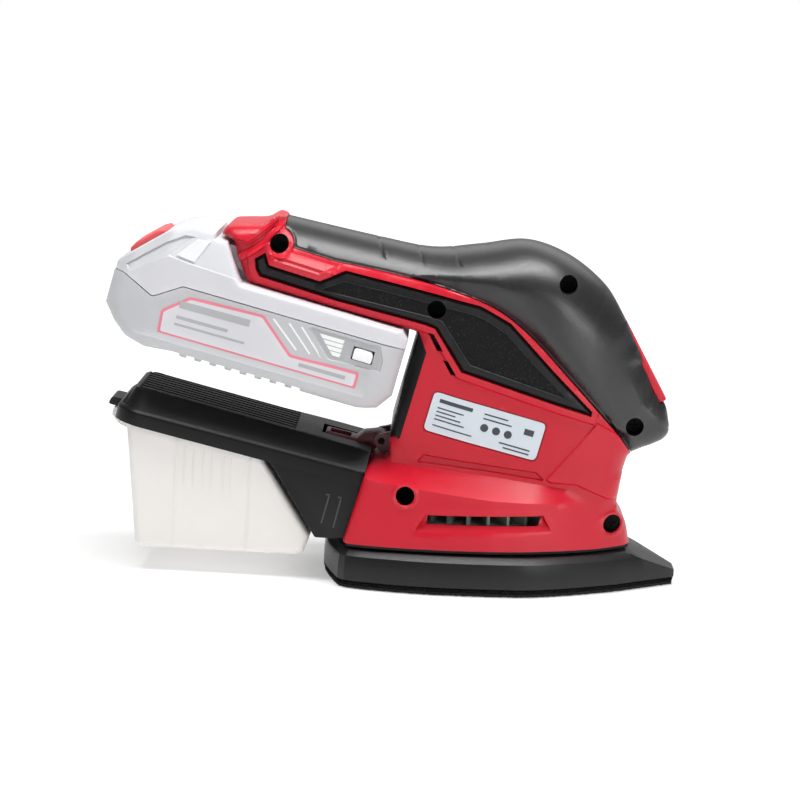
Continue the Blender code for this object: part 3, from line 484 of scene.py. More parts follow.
def finish(name, colour, roughness, grain, bump, variation=0.08, metallic=0, speck=0, wear=0,
           transmission=0, subsurface=0, specular=0.5, spread=0.08):
    """A moulded or turned finish: clouded colour, fine grain in the bump and the gloss, worn edges.

    The grain's size is in millimetres, and spread is how far the roughness varies.
    """
    material = bpy.data.materials.new(name)
    material.use_nodes = True
    tree = material.node_tree
    nodes, links = tree.nodes, tree.links
    shader = nodes["Principled BSDF"]
    coordinates = nodes.new("ShaderNodeTexCoord")
    base = linear(colour)

    def noise(size, detail):
        node = nodes.new("ShaderNodeTexNoise")
        node.inputs["Scale"].default_value = 1 / (size * MM)
        node.inputs["Detail"].default_value = detail
        links.new(coordinates.outputs["Object"], node.inputs["Vector"])
        return node.outputs["Fac"]

    def tone(factor, lift=0):
        return tuple(min(1, c * factor + lift) for c in base) + (1,)

    def blend(factor, first, second):
        node = nodes.new("ShaderNodeMix")
        node.data_type = "RGBA"
        for socket, value in ((node.inputs[6], first), (node.inputs[7], second)):
            if isinstance(value, tuple):
                socket.default_value = value
            else:
                links.new(value, socket)
        links.new(factor, node.inputs[0])
        return node.outputs[2]

    fine, cloud = noise(grain, 2), noise(38, 3)
    shown = blend(map_range(tree, cloud, 0.3, 0.7, 0, 1), tone(1 - variation),
                  tone(1 + variation, 0.004 * variation))
    if speck:
        shown = blend(map_range(tree, fine, 0.58, 0.72, 0, speck), shown, tone(3, 0.06))
    if wear:
        pointiness = nodes.new("ShaderNodeNewGeometry").outputs["Pointiness"]
        shown = blend(map_range(tree, pointiness, 0.515, 0.60, 0, wear), shown, tone(1.5, 0.05))
    links.new(shown, shader.inputs["Base Color"])
    gloss = map_range(tree, fine, 0.3, 0.7, roughness - spread, roughness + spread)
    links.new(gloss, shader.inputs["Roughness"])
    relief = nodes.new("ShaderNodeBump")
    relief.inputs["Strength"].default_value = bump
    relief.inputs["Distance"].default_value = 0.2 * MM
    links.new(fine, relief.inputs["Height"])
    links.new(relief.outputs["Normal"], shader.inputs["Normal"])
    for key, value in (("Metallic", metallic), ("Specular IOR Level", specular),
                       ("Transmission Weight", transmission), ("Subsurface Weight", subsurface),
                       ("Subsurface Radius", (4 * MM,) * 3)):
        shader.inputs[key].default_value = value
    return material


# Name, colour, roughness, size of the grain, depth of the bump and variation of the colour.
RED = finish("red_plastic", (192, 7, 36), 0.36, 0.7, 0.12, 0.06, wear=0.25, specular=0.42)
BLACK = finish("black_plastic", (13, 13, 14), 0.36, 0.7, 0.14, 0.1, wear=0.3, specular=0.22)
GRIP = finish("soft_grip_plastic", (18, 18, 20), 0.36, 0.55, 0.2, 0.1, speck=0.12, wear=0.2, specular=0.7)
INLAY_BAND = finish("inlay_band", (14, 16, 17), 0.38, 0.7, 0.12, wear=0.3, specular=0.25)
INLAY_FIELD = finish("inlay_field", (10, 10, 11), 0.7, 0.75, 0.9, 0.06, speck=0.4, specular=0.22)
# Painted highlight: a lighter grey for the light caught by the inlay field's step and the dust box neck's
# ridges.
PAINTED_RIDGE_HIGHLIGHT = finish("painted_ridge_highlight", (56, 58, 60), 0.45, 0.5, 0.1)
PLATE = finish("plate_foil", (206, 216, 224), 0.34, 0.4, 0.06, 0.02, spread=0.04)
PRINT = finish("plate_print", (60, 64, 70), 0.5, 0.4, 0.05)
STEEL = finish("turned_steel", (168, 170, 174), 0.3, 0.25, 0.12, 0.05, metallic=1)
DARK_STEEL = finish("blackened_steel", (4, 4, 4), 0.5, 0.4, 0.1, specular=0.12)
MAGNET = finish("magnet_ceramic", (58, 56, 58), 0.7, 0.4, 0.3)
COPPER = finish("copper_strip", (196, 130, 84), 0.32, 0.3, 0.1, metallic=1)
RUBBER = finish("black_rubber", (26, 26, 27), 0.8, 0.5, 0.5, 0.1)
FAN = finish("fan_plastic", (176, 184, 172), 0.5, 0.6, 0.15)
BOARD = finish("board_laminate", (26, 72, 44), 0.42, 1.6, 0.3, 0.14)
LEAD = finish("lead_sleeve", (186, 28, 34), 0.45, 0.8, 0.15)
PAD = finish("pad_plastic", (15, 15, 18), 0.36, 0.8, 0.2, 0.1, wear=0.4, specular=0.3)
HOOK = finish("hook_pile", (13, 13, 13), 0.95, 0.35, 1, 0.25, speck=0.3, specular=0.2)
SHEET = finish("abrasive_grit", (32, 27, 25), 0.92, 0.3, 1, 0.2, speck=0.4)
PALE = finish("battery_pale", (208, 208, 213), 0.42, 0.7, 0.12, 0.02, wear=0.1)
GREY = finish("battery_grey", (190, 191, 194), 0.5, 0.6, 0.25, 0.03, wear=0.1)
MID_GREY = finish("battery_recess", (172, 173, 176), 0.55, 0.6, 0.3, 0.03)
PINK = finish("label_border", (230, 128, 146), 0.4, 0.5, 0.08)
SOFT_RED = finish("button_red", (222, 84, 88), 0.42, 0.6, 0.15, wear=0.2)
WHITE_MARK = finish("white_mark", (240, 240, 240), 0.45, 0.5, 0.08, 0.02)
CELL = finish("cell_sleeve", (66, 112, 160), 0.36, 1.2, 0.1)
MILKY = finish("milky_plastic", (245, 242, 238), 0.36, 0.9, 0.08, 0.02, transmission=0.12, subsurface=0.12)
PAPER = finish("filter_paper", (214, 206, 188), 0.9, 0.5, 0.7, 0.06)
# Painted shade: the latch is red plastic, drawn dark maroon for the shade of its slot.
SHADED_LATCH_RED = finish("latch_red_painted_shade", (98, 26, 38), 0.36, 0.7, 0.2, wear=0.3)


def dress(obj, material, body, slot, *nodes, angle=34):
    """Gives a piece its finish and the body it rides on, and hides the CAD nodes it stands for; slot is not
    used.
    """
    if not obj.data.materials:
        obj.data.materials.append(material)
    shade(obj, angle)
    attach(obj, body)
    if nodes:
        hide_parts(*nodes)
    return obj


def paint(obj, materials, choose):
    """Gives each face one of several materials, by the number choose returns for its centre."""
    for material in materials:
        obj.data.materials.append(material)
    centres = np.array([tuple(p.center) for p in obj.data.polygons]) / MM
    obj.data.polygons.foreach_set("material_index", choose(*centres.T).astype(np.int32))


# ---- the body's skin ----

CLOSED_ROUND = 99
GRIP_TOP = smooth(((-86.4, 149.8), (-48.7, 143), (-25, 139.7), (-5.2, 142), (15, 145),
                   (33.3, 139.4), (49.1, 127.7), (57.5, 115.3)), 8)
NOSE_FACE = [GRIP_TOP.pop(), (62.9, 105), (68, 94.6), (73.2, 84.9), (77.6, 78.2)]
NOSE_CHIN = [(79.8, 67), (77.6, 63.8), (72.8, 61.4), (68.6, 60), (62.3, 57.4)]
NECK_FRONT = [(60.4, 50.2), (58.9, 39.6)]
SKIRT_FRONT = [(58.6, 34), (63.3, 28.2), (65.6, SKIRT_BOTTOM)]
REAR = [(-56, SKIRT_BOTTOM), (-47.3, 50.2), (-38.8, 51.4)]
NECK_BACK = [(-38.9, 63.6), (-28.9, 106.1)]
# The neck's rear strip, painted black as painted shade of its round rear edge.
NECK_SHADE_STRIP = [(-29, 106.4), (-25.4, 98), (-34.6, 61)]
NECK_REAR = [(-28.9, 106.1), (-101.6, 123), (-106.6, 134.8), (-108.1, 140.8)]
HOOD = [(-114.4, 141.6), (-111, 146.6), (-96, 147.4), (-91.2, 150.8)]
# Rows of (points, how far the side curves in at them, over what distance).
GRADED = tuple(([p], 26 - 2.2 * i, 21 - 0.6 * i) for i, p in enumerate(GRIP_TOP[-8:]))
FACE = tuple(([p], 8.4 - 1.1 * i, 15.5 - 1.9 * i) for i, p in enumerate(NOSE_FACE))
STRETCHES = ((GRIP_TOP[:-8], CLOSED_ROUND, 21), *GRADED, *FACE, (NOSE_CHIN, 8, 9),
             (NECK_FRONT, 6, 7), (SKIRT_FRONT, 4, 4), (REAR, 3, 3), (NECK_BACK[:1], 6, 6),
             (NECK_REAR, 3, 3.5), (HOOD, 9, 7))


def body_edges():
    """The outline's edges, each with how far the side curves in at it and over what distance."""
    rows = [(p, inset, reach) for points, inset, reach in STRETCHES for p in points]
    bends = []
    for index, (point, inset, reach) in enumerate(rows):
        before, after = rows[index - 1][0], rows[(index + 1) % len(rows)][0]
        bend = [point]
        if point[1] != SKIRT_BOTTOM:
            bend = rounded([before, point, after], 2.4, 5, sharp=(before, after))[1:-1]
        bends += [(p, inset, reach) for p in bend]
    edges = []
    for (a, inset, reach), (b, _, _) in zip(bends, bends[1:] + bends[:1]):
        flat_bottom = a[1] == b[1] == SKIRT_BOTTOM
        if math.dist(a, b) > SAME_POINT:
            edges.append((a, b, 0 if flat_bottom else inset, reach))
    return edges


BODY_EDGES = body_edges()
BODY_OUTLINE = [a for a, _, _, _ in BODY_EDGES]
UPPER_WIDTH, LOWER_WIDTH = eased(HALF_WIDTHS, 4), eased(SKIRT_WIDTHS, 1.6)
LEDGE_BOTTOM, LEDGE_TOP = eased(LEDGE_LOW, 2), eased(LEDGE_HIGH, 2)


def flat_width(x, z):
    """Half the body's width away from its edges."""
    upper = UPPER_WIDTH(x)
    skirt = LOWER_WIDTH(x) - SKIRT_DRAFT * (z - SKIRT_BOTTOM)
    low, high = LEDGE_BOTTOM(x), LEDGE_TOP(x)
    return skirt + (upper - skirt) * np.clip((z - low) / (high - low), 0, 1)


def skin(x, z, depth=0):
    """Half the body's width at (x, z), or of the shape that lies depth inside it."""
    full = flat_width(x, z) - depth
    width = full.copy()
    off = np.zeros(x.shape, bool)
    for a, b, inset, reach in BODY_EDGES:
        inside = distances(x, z, (a, b)) - depth
        off |= inside < -SAME_POINT
        share = np.clip(inside / reach, 0, 1)
        width = np.minimum(width, full - np.minimum(inset, full - 0.6) * (1 - np.sqrt(1 - (1 - share) ** 2)))
    return np.where(off, -2, width)


def rim_points(spacing, least=0.09, cell_size=0.5):
    """Rows of points beside the outline, closer together where the side curves in."""
    found = []
    for a, b, inset, reach in BODY_EDGES:
        if inset == CLOSED_ROUND:
            continue
        a, b = Vector(a), Vector(b)
        normal = Vector((-(b - a).y, (b - a).x)).normalized()
        count = max(1, round((b - a).length / spacing))
        for share in (0.012, 0.05, 0.11, 0.2, 0.32, 0.5, 0.75, 1):
            for i in range(count):
                for side in (-1, 1):
                    found.append(tuple(a + (b - a) * ((i + 0.5) / count) + normal * side * share * reach))
    points = np.array(found)
    clear = np.full(len(points), FAR)
    for a, b, _, _ in BODY_EDGES:
        clear = np.minimum(clear, distances(*points.T, (a, b)))
    kept, seen = [], set()
    for x, z in points[clear > least].tolist():
        cell = (round(x / cell_size), round(z / cell_size))
        if cell not in seen:
            seen.add(cell)
            kept.append((x, z))
    return np.array(kept)


RIM_POINTS = rim_points(1.5)

GRIP_REAR = arc(SCREW_PLACES[0], 6.2, 72, -12, 9)
GRIP_EDGE = smooth(((-65.5, 134), (-35.6, 129), (-4.3, 121.1), (15.2, 109.7), (39.1, 86.1),
                    (58, 66)), 8)
GRIP_LINE = GRIP_REAR + GRIP_EDGE
UPPER_HOLLOW = [
    on_battery(18, 15.8), on_battery(74, 15.8), (-24, 108), (-33, 69), (-34.5, WEB_TOP),
    (52, WEB_TOP), (55.5, 55), (72, 66), (74, 72), (52, 113), (44, 125), (30, 135),
    (15, 139.5), (-5, 137), (-25, 134.5), (-48, 137.5), (-82, 143.5),
]
INLAY = [
    (-98.6, 133.2), (-98, 128.9), (-96.4, 126.2), (-64.1, 117.8), (-27, 109.9), (-22.1, 108.4),
    (-10.3, 91), (44.6, 75), (44.9, 76.6), (27.2, 93.8), (8.9, 112.3), (-1.8, 117.8), (-4.3, 118.9),
    (-60.5, 130), (-71.3, 125.2), (-93, 130.8), (-94.6, 135.6),
]
INLAY_FIELD_EDGE = [
    (-71.5, 121.7), (-61.2, 126), (-25, 119), (-6, 115.2), (-0.5, 113), (7.4, 108.2), (18.7, 96.8),
    (34.5, 81.6), (-7.2, 93.9), (-19.6, 111.4), (-24.6, 112.8),
]
LABEL = [(-21, 82), (26.2, 71), (22.4, 55.2), (-25, 65.6)]
VENT_SLOTS = (
    [(-25.2, 106.6), (-22.7, 106), (-18.5, 99), (-21, 98.9)],
    [(-18.4, 95.4), (-16.2, 95), (-12.4, 89), (-14.8, 89.4)],
)
FAN_WINDOW = [(-21.6, 28.6), (24.9, 28.8), (26.2, 32.7), (-21.2, 32.1)]
SCOOP = [(-27.1, 24.8), (-22.2, 32.6), (27, 33.3), (31, 26.4)]
FINGER_GROOVES = ((-48.3, 143), (-31.3, 140.4), (-16.6, 140.3))
FINGER_LINES = ([(-48.1, 143.8), (-45.1, 136.2)], [(-31.2, 141.1), (-28.5, 134.5)],
                [(-16.3, 141.1), (-13.2, 134.5)])
BAR = [(-93.4, 134.4), (-92.6, 130), (-71.6, 124.7), (-60.7, 130.4), (-61, 131), (-86.8, 137.3)]
BAR_RIDGE = [(-88, 134.6), (-67, 129)]
NECK_PANEL = [(47.6, 72.1), (27, 47.4), (29.2, 45.9), (40.4, 45.2), (54.1, 38.9), (66, 38),
              (72, 60)]
LOWER_PANEL = [(-27.6, 51), (-24.4, 55.1), (23.4, 50.4), (27.6, 46.4), (4, 49), (-20, 50.8)]
HOOD_PLATE = [(-118, 141.4), (-112.3, 142.4), (-106.4, 140.7), (-102, 139.6), (-100.3, 140.7),
              (-94.4, 145.4), (-89.8, 149.1), (-91, 154), (-118, 154)]
HOOD_BAND = [(-89.4, 153), (-90.9, 146.5), (-95.4, 140.8), (-100.7, 137.1), (-107, 134),
             (-105.4, 131), (-98.5, 135.2), (-94.6, 138.6), (-91.2, 142.6), (-87, 147.4), (-85.8, 153)]
HOOD_RECESS = [(-110.6, 141.2), (-106.4, 140.2), (-102, 139.1), (-100, 140.2), (-94, 145),
               (-91.6, 147), (-91.3, 146.4), (-95.7, 141), (-100.9, 137.3), (-107.6, 134.2)]
GRIP_FOLD = smooth(((-34, 128.8), (-28, 130.2), (-15, 131.3), (-4, 131.7), (2.9, 131),
                    (13.6, 125), (21, 116.4), (29.8, 106.1), (44, 91.8), (53.5, 80.8), (58.5, 71)), 6)
NOSE_CREASE = [(58, 97), (66.4, 79.9), (72, 74.6), (76.6, 70.4)]


class Relief:
    """Raised and sunk details on a side surface, with the lines that keep their edges crisp."""

    def __init__(self):
        self.parts = []
        self.lines = []

    def area(self, outline, height, edge):
        self.lines += with_inner(outline, edge)
        self.parts.append(lambda x, z: height * ramp(depth_in(x, z, outline) / edge))

    def ridge(self, line, height, half):
        self.lines.append(line)
        self.parts.append(lambda x, z: height * ramp(1 - distances(x, z, line) / half))

    def ring(self, centre, radius, height, half):
        for r in (radius - half, radius, radius + half):
            self.lines.append(circle(centre, r))
        self.parts.append(
            lambda x, z: height * ramp(1 - np.abs(np.hypot(x - centre[0], z - centre[1]) - radius) / half))

    def shape(self, function, lines=()):
        self.lines += lines
        self.parts.append(function)

    def __call__(self, x, z):
        return sum((part(x, z) for part in self.parts), np.zeros(x.shape))


def scoop_depth(x, z):
    bottom = np.interp(x, (SCOOP[0][0], SCOOP[3][0]), (SCOOP[0][1], SCOOP[3][1]))
    within = ramp(depth_in(x, z, SCOOP) / 0.5)
    return -SCOOP_DEPTH * within * np.clip((z - bottom) / 4.2, 0, 1)


def bar_height(x, z):
    """The facets of the raised bar beside the rear screw."""
    to_side, to_ridge = distances(x, z, closed(BAR)), distances(x, z, BAR_RIDGE)
    inside = contains(BAR, np.column_stack((x, z)))
    height = 0.4 * np.clip(to_side / 0.3, 0, 1) + 1.6 * to_side / (to_side + to_ridge + TINY)
    return np.where(inside, height, 0)


def housing_relief(side):
    relief = Relief()
    relief.area(grown(INLAY, 3.6), 1, 0.8)
    relief.shape(bar_height, [*with_inner(BAR, 0.3), BAR_RIDGE])
    for outline, height, edge in ((NECK_PANEL, 0.9, 0.8), (LOWER_PANEL, -1.1, 0.7), (HOOD_PLATE, 1, 0.5),
                                  (HOOD_BAND, 1.4, 0.7), (HOOD_RECESS, -1.2, 0.4)):
        relief.area(outline, height, edge)
    relief.shape(scoop_depth, with_inner(SCOOP, 0.5))
    relief.shape(lambda x, z: -0.5 * ramp(1 - distances(x, z, GRIP_LINE) / 0.9), [beside(GRIP_LINE, -0.9)])
    relief.lines.append(NECK_SHADE_STRIP)
    if side == RIGHT:
        for number, radius, height, half in ((0, 5.3, 0.9, 1.3), (4, 4.8, 0.7, 1.1), (5, 4.8, 0.6, 1.1)):
            relief.ring(SCREW_PLACES[number], radius, height, half)
    return relief


def shell_colours_and_shade(x, y, z):
    """Which faces of a shell take painted shade, black (1) or the latch's shaded red (2), the others being
    red (0).
    """
    wide = skin(x, z)
    # Painted shade: the inside, the screw bores and the neck's rear strip are painted black where shade
    # falls.
    painted_shade = (np.abs(y) < wide - SHADE_PAINT_DEPTH) & (depth_in(x, z, BODY_OUTLINE) > 0.4)
    for px, pz in SCREW_PLACES:
        painted_shade |= (np.hypot(x - px, z - pz) < COUNTERBORE_RADIUS + 0.1) & (np.abs(y) < wide - 0.9)
    painted_shade |= contains([*NECK_SHADE_STRIP, (-45, 61), (-45, 106.4)], np.column_stack((x, z)))
    # Painted shade: the lug, red like the shell, is painted the latch's shaded red.
    lug = (x < -36) & (x > -47) & (np.abs(z - 56.8) < 5.6) & (np.abs(y) < 10.8)
    return np.where(lug, 2, np.where(painted_shade, 1, 0))


def grip_relief():
    relief = Relief()
    relief.lines += [beside(GRIP_LINE, by) for by in (0.25, 0.6, 1.1)]
    relief.shape(lambda x, z: -0.9 * ramp(1 - distances(x, z, GRIP_LINE) / 1.2))

    def fold(x, z):
        to_edge, to_fold = distances(x, z, GRIP_EDGE), distances(x, z, GRIP_FOLD)
        share = ramp(to_fold / np.maximum(to_fold + to_edge, TINY))
        between = contains(FOLD_AREA, np.column_stack((x, z)))
        start = ramp((x + 34) / 30)
        above = 0.9 * start * ramp(1 - to_fold / 15)
        return np.where(between, 0.9 * start - 2.9 * share * np.clip(to_fold / 5, 0, 1), above)

    def nose(x, z):
        in_front = contains(NOSE_CREASE + [(84, 66), (84, 97)], np.column_stack((x, z)))
        return np.where(in_front, -0.22 * distances(x, z, NOSE_CREASE), 0)

    relief.shape(fold, [GRIP_FOLD])
    relief.shape(nose, [NOSE_CREASE])
    for line in FINGER_LINES:
        relief.lines += [beside(line, -0.7), beside(line, 0.7)]
        relief.ridge(line, -0.8, 0.7)
    return relief


FOLD_AREA = GRIP_FOLD + [(63, 60)] + GRIP_EDGE[::-1][:33]
GRIP_KEPT = GRIP_LINE + [(64.8, 56.8), (95, 52), (95, 160), (-86.4, 160)]
GRIP_SPACE = [(x - FIT, z - FIT) for x, z in GRIP_LINE] + [(64.5, 56.5), (95, 52), (95, 160), (-86.7, 160)]


def face_block(name, along, low, high, half_width):
    """A block in the axes of the nose's face, between two heights over it."""
    return across(name, mapped(on_face, rectangle(-along, along, low, high)), -half_width, half_width)


def switch_cutters():
    return (face_block("bezel_space", 20, -3.2, 20, 13.4),
            face_block("switch_space", 13.5, -30, 5, 9.4))


def other_side(side):
    """What lies past the parting plane."""
    y0, y1 = sorted((side * PARTING, -side * 70))
    return block("other_side", (-200, y0, -20), (120, y1, 200))


def side_slab(name, side, outline, near, far, spacing, lines=(), extra=None):
    """A slab on one side of the parting plane, its sheets given as distances from it."""
    return slab(name, outline, lambda x, z: side * near(x, z), lambda x, z: side * far(x, z), spacing,
                lines, extra)


def under(depth):
    return lambda x, z: skin(x, z, depth)


def inner_cutter(side, outline, sheet, lines=()):
    """What lies between the middle of the body and a sheet."""
    return side_slab("inner", side, outline, level(2 * PAST_PARTING), sheet, COARSE, lines)


def outer_cutter(side, outline, depth, lines=()):
    """What lies further out than a depth under the skin."""
    return side_slab("outer", side, outline, under(depth), level(60), COARSE, lines)


TOP_ROWS = [beside(dense(GRIP_TOP, 1.6), -by) for by in (0.05, 0.2, 0.5, 1, 1.7, 2.6, 3.8, 5.4, 7.4, 10)]
CREASES = [[(x, edge(x)) for x in np.arange(-56, 66, 1.5)] for edge in (LEDGE_BOTTOM, LEDGE_TOP)]
FINE, COARSE = 1.5, 3.5


def make_grip(name, side):
    relief = grip_relief()
    grip = side_slab(name, side, BODY_OUTLINE, level(PAST_PARTING),
                     lambda x, z: skin(x, z) + np.maximum(relief(x, z), -GRIP_SUNK), FINE,
                     relief.lines + TOP_ROWS, RIM_POINTS)
    combine(grip, across("kept", GRIP_KEPT, -80, 80), "INTERSECT")
    cut(grip, other_side(side), inner_cutter(side, GRIP_SPACE, under(GRIP_DEPTH), [closed(BODY_OUTLINE)]),
        *switch_cutters())
    for place_of in FINGER_GROOVES:
        cut(grip, place(block("groove", (-0.5, -9, -0.7), (0.5, 9, 5)), place_of, math.radians(-14)))
    if side == RIGHT:
        for point in SCREW_PLACES[2:4]:
            cut(grip, crossbar("bore", point, COUNTERBORE_RADIUS, -50, -5))
    return dress(grip, GRIP, "housing", "soft_grip", name)


def screw_boss(side, point):
    x, z = point
    outer = float(skin(np.array([x]), np.array([z]), GRIP_DEPTH + FIT)[0]) - BOSS_GAP
    return crossbar("boss", point, BOSS_RADIUS, side * PAST_PARTING, side * outer, 24)


def make_housing(name, side):
    relief = housing_relief(side)
    housing = side_slab(name, side, BODY_OUTLINE, level(PAST_PARTING), lambda x, z: skin(x, z) + relief(x, z),
                        FINE, relief.lines + CREASES, RIM_POINTS)
    skirt = [(-53, 8), (-51.9, 20), (-47.4, WEB_BOTTOM), (54, WEB_BOTTOM), (55, 31), (61, 26),
             (62.5, 8)]
    cut(housing, other_side(side), outer_cutter(side, GRIP_SPACE, GRIP_DEPTH + FIT, [closed(BODY_OUTLINE)]),
        inner_cutter(side, UPPER_HOLLOW, under(DEEP_WALL)),
        inner_cutter(side, skirt, lambda x, z: flat_width(x, z) - WALL),
        rod("web_hole", WEB_HOLE_RADIUS, (0, 0, 34), (0, 0, 46), 64))
    join(housing, *(screw_boss(side, point) for point in SCREW_PLACES))
    cut(housing, other_side(side))
    for point, head in zip(SCREW_PLACES, SCREW_HEAD_PLACES):
        start, end = (-60, 6) if side == RIGHT else (-6, 12)
        cut(housing, crossbar("shank_bore", point, SHANK_RADIUS + FIT, start, end, 18))
        if side == RIGHT:
            cut(housing, crossbar("head_bore", point, COUNTERBORE_RADIUS, -60, head, 40))
    cut(housing, *switch_cutters())
    for low, high, half_width in ((-6.1, 3.3, 18), (3.2, 13.6, 21)):
        cut(housing, battery_bar("channel", rectangle(-22, 73.4, low, high), half_width))
    wire_way = mapped(on_battery, [(72, 7), (80, 7), (80, 20), (72, 12)])
    cut(housing, across("wire_way", wire_way, -15, -9), across("wire_way", wire_way, 9, 15),
        block("exhaust", (-62, -12.6, 22.4), (-44, 12.6, 35)))
    for outline in (*VENT_SLOTS, FAN_WINDOW):
        cut(housing, across("vent", outline, side * 20, side * 60))
    x, z = LATCH_PIN
    lug = [(x - 1, z - 4.2), (-37, z - 4.6), (-35.5, z + 5), (x, z + 3.2)] + arc((x, z), 3.2, 110, 230, 9)
    join(housing, across("lug", lug, *(side * y for y in LUG_SIDES)))
    cut(housing, latch_bore(), outer_cutter(side, grown(INLAY, FIT), INLAY_DEPTH + FIT))
    if side == RIGHT:
        cut(housing, outer_cutter(side, rounded(grown(LABEL, 0.7), 2.6), LABEL_DEPTH + FIT))
    # Painted shade: black inside, in the bores and on the neck's rear strip, and the latch's shaded red on
    # the lug.
    paint(housing, (RED, BLACK, SHADED_LATCH_RED), shell_colours_and_shade)
    return dress(housing, RED, "housing", "red_shell", name, angle=26)


def make_inlay(name, side):
    relief = Relief()
    relief.shape(lambda x, z: 0.25 - ramp(1 - depth_in(x, z, INLAY) / 1.3),
                 lines_inside(INLAY, 0.3, 0.7, 1.3))
    relief.area(INLAY_FIELD_EDGE, -0.55, 0.35)
    inlay = side_slab(name, side, INLAY, under(INLAY_DEPTH), lambda x, z: skin(x, z) + relief(x, z), 1.2,
                      relief.lines, RIM_POINTS)
    if side == RIGHT:
        cut(inlay, crossbar("bore", SCREW_PLACES[1], COUNTERBORE_RADIUS, -60, -5, 40))

    # The field's step wall (2) is painted lighter as a painted highlight.
    def parts(x, y, z):
        deep = depth_in(x, z, INLAY_FIELD_EDGE)
        return np.where(deep > 0.36, 1, np.where(deep > 0, 2, 0))

    paint(inlay, (INLAY_BAND, INLAY_FIELD, PAINTED_RIDGE_HIGHLIGHT), parts)
    return dress(inlay, INLAY_BAND, "housing", "inlay", name)


def marks(name, rows, height, mapping, sunk=0.25):
    """Thin raised marks, each an outline in the plane of a side, as one piece."""
    points, faces = [], []
    for outline in rows:
        flat, triangles = triangulate(outline, 1.5)
        faces += two_sheets(triangles, len(flat), len(points))
        for lift in (-sunk, height):
            points += np.column_stack(np.broadcast_arrays(*mapping(*flat.T, lift))).tolist()
    return solid(name, points, faces)


def strip(start, end, width):
    """A thin bar between two points of a plane."""
    a, b = Vector(start), Vector(end)
    side = Vector((-(b - a).y, (b - a).x)).normalized() * width / 2
    return [tuple(a + side), tuple(b + side), tuple(b - side), tuple(a - side)]


# Rows of (start, end, place down the plate, width), in mm from the plate's upper rear corner.
PLATE_BARS = ((3, 17, 3, 1.6), (3, 14, 6, 0.55), (3, 11, 7.6, 0.55), (3, 13.5, 9.2, 0.55),
              (3, 15.5, 10.8, 0.55), (3, 19.5, 13.4, 0.55), (22, 32, 3, 0.6), (22, 34, 4.9, 0.6),
              (31, 44, 12.6, 0.6), (33, 44, 14.2, 0.6), (39.5, 43.5, 5.4, 2.6))
PLATE_DOTS, PLATE_DOT_RADIUS = ((23.5, 8.6), (28.5, 8.6), (33.5, 8.6)), 1.7
PLATE_WIDTH, PLATE_HEIGHT = 47.2, 16.4


def make_plate():
    plate = side_slab("rating_plate", RIGHT, rounded(LABEL, 2.2), under(LABEL_DEPTH), under(-0.05), 1.6)
    dress(plate, PLATE, "housing", "plate", "rating_label")
    corner, along, down = (Vector(LABEL[i]) for i in (0, 1, 3))
    along, down = (along - corner) / PLATE_WIDTH, (down - corner) / PLATE_HEIGHT

    def at(a, b):
        return tuple(corner + along * a + down * b)

    rows = [strip(at(start, b), at(end, b), width) for start, end, b, width in PLATE_BARS]
    rows += [circle(at(a, b), PLATE_DOT_RADIUS, 14)[:-1] for a, b in PLATE_DOTS]
    stripes = marks("plate_stripes", rows, 0.08, lambda a, b, lift: (a, -(skin(a, b) + 0.05 + lift), b))
    dress(stripes, PRINT, "housing", "plate")


def make_shells():
    for word, side in SIDES:
        make_housing(word + "_housing", side).name = word + "_shell"
        make_grip(word + "_grip", side).name = word + "_grip_cover"
        make_inlay(word + "_inlay", side).name = word + "_inlay_panel"
    make_plate()


# ---- front switch ----

def make_switch():
    bezel = bevel(face_block("bezel_frame", 19.6, -2.8, 0.9, 13), 0.9, 3)
    cut(bezel, face_block("window", 12.4, -6, 6, 8.2))
    dress(bezel, RED, "housing", "red_shell", "switch_bezel")
    profile = [(-11.8, -3), (-6, -6.4), (6, -6.4), (11.8, -3), (11.8, 0.7), (5, -0.4), (-5, -0.4),
               (-11.8, 0.7)]
    rocker = bevel(across("rocker_cap", mapped(on_face, profile), -7.8, 7.8), 0.5, 2)
    dress(rocker, BLACK, "switch", "black_shell", "switch_rocker")


# ---- foot ----

PAD_SIDE = smooth(((86.2, 6), (68.8, 20.1), (55.4, 30.1), (29.5, 44.5), (10.6, 49.4), (-20.5, 51.6),
                   (-45.5, 48.8), (-55, 46)), 8)
PAD_REAR = smooth(((-57.6, 43), (-61.2, 30), (-64.3, 15), (-65.2, 0)), 5)
DUST_HOLES = ((-42, 28), (-42, -28), (-48, 0), (10, 34), (10, -34), (38, 20), (38, -20), (62, 0))
FOOT_OUTLINE = PAD_SIDE + PAD_REAR + [(x, -y) for x, y in (PAD_SIDE + PAD_REAR)[-2::-1]]
# Rows of (name, heights of its rings, inset, how ragged, material, slot, CAD node).
FOOT_LAYERS = (("hook_pile", (1.5, 1.9, 2.3, 2.7), 0, 1.1, HOOK, "hook", "hook_layer"),
               ("grit_sheet", (0, 0.4, 0.8, 1.2), 0.45, 0.8, SHEET, "abrasive", "abrasive_sheet"))


def dust_holes(low, high):
    return [rod("dust_hole", DUST_HOLE_RADIUS, (x, y, low), (x, y, high), 28) for x, y in DUST_HOLES]


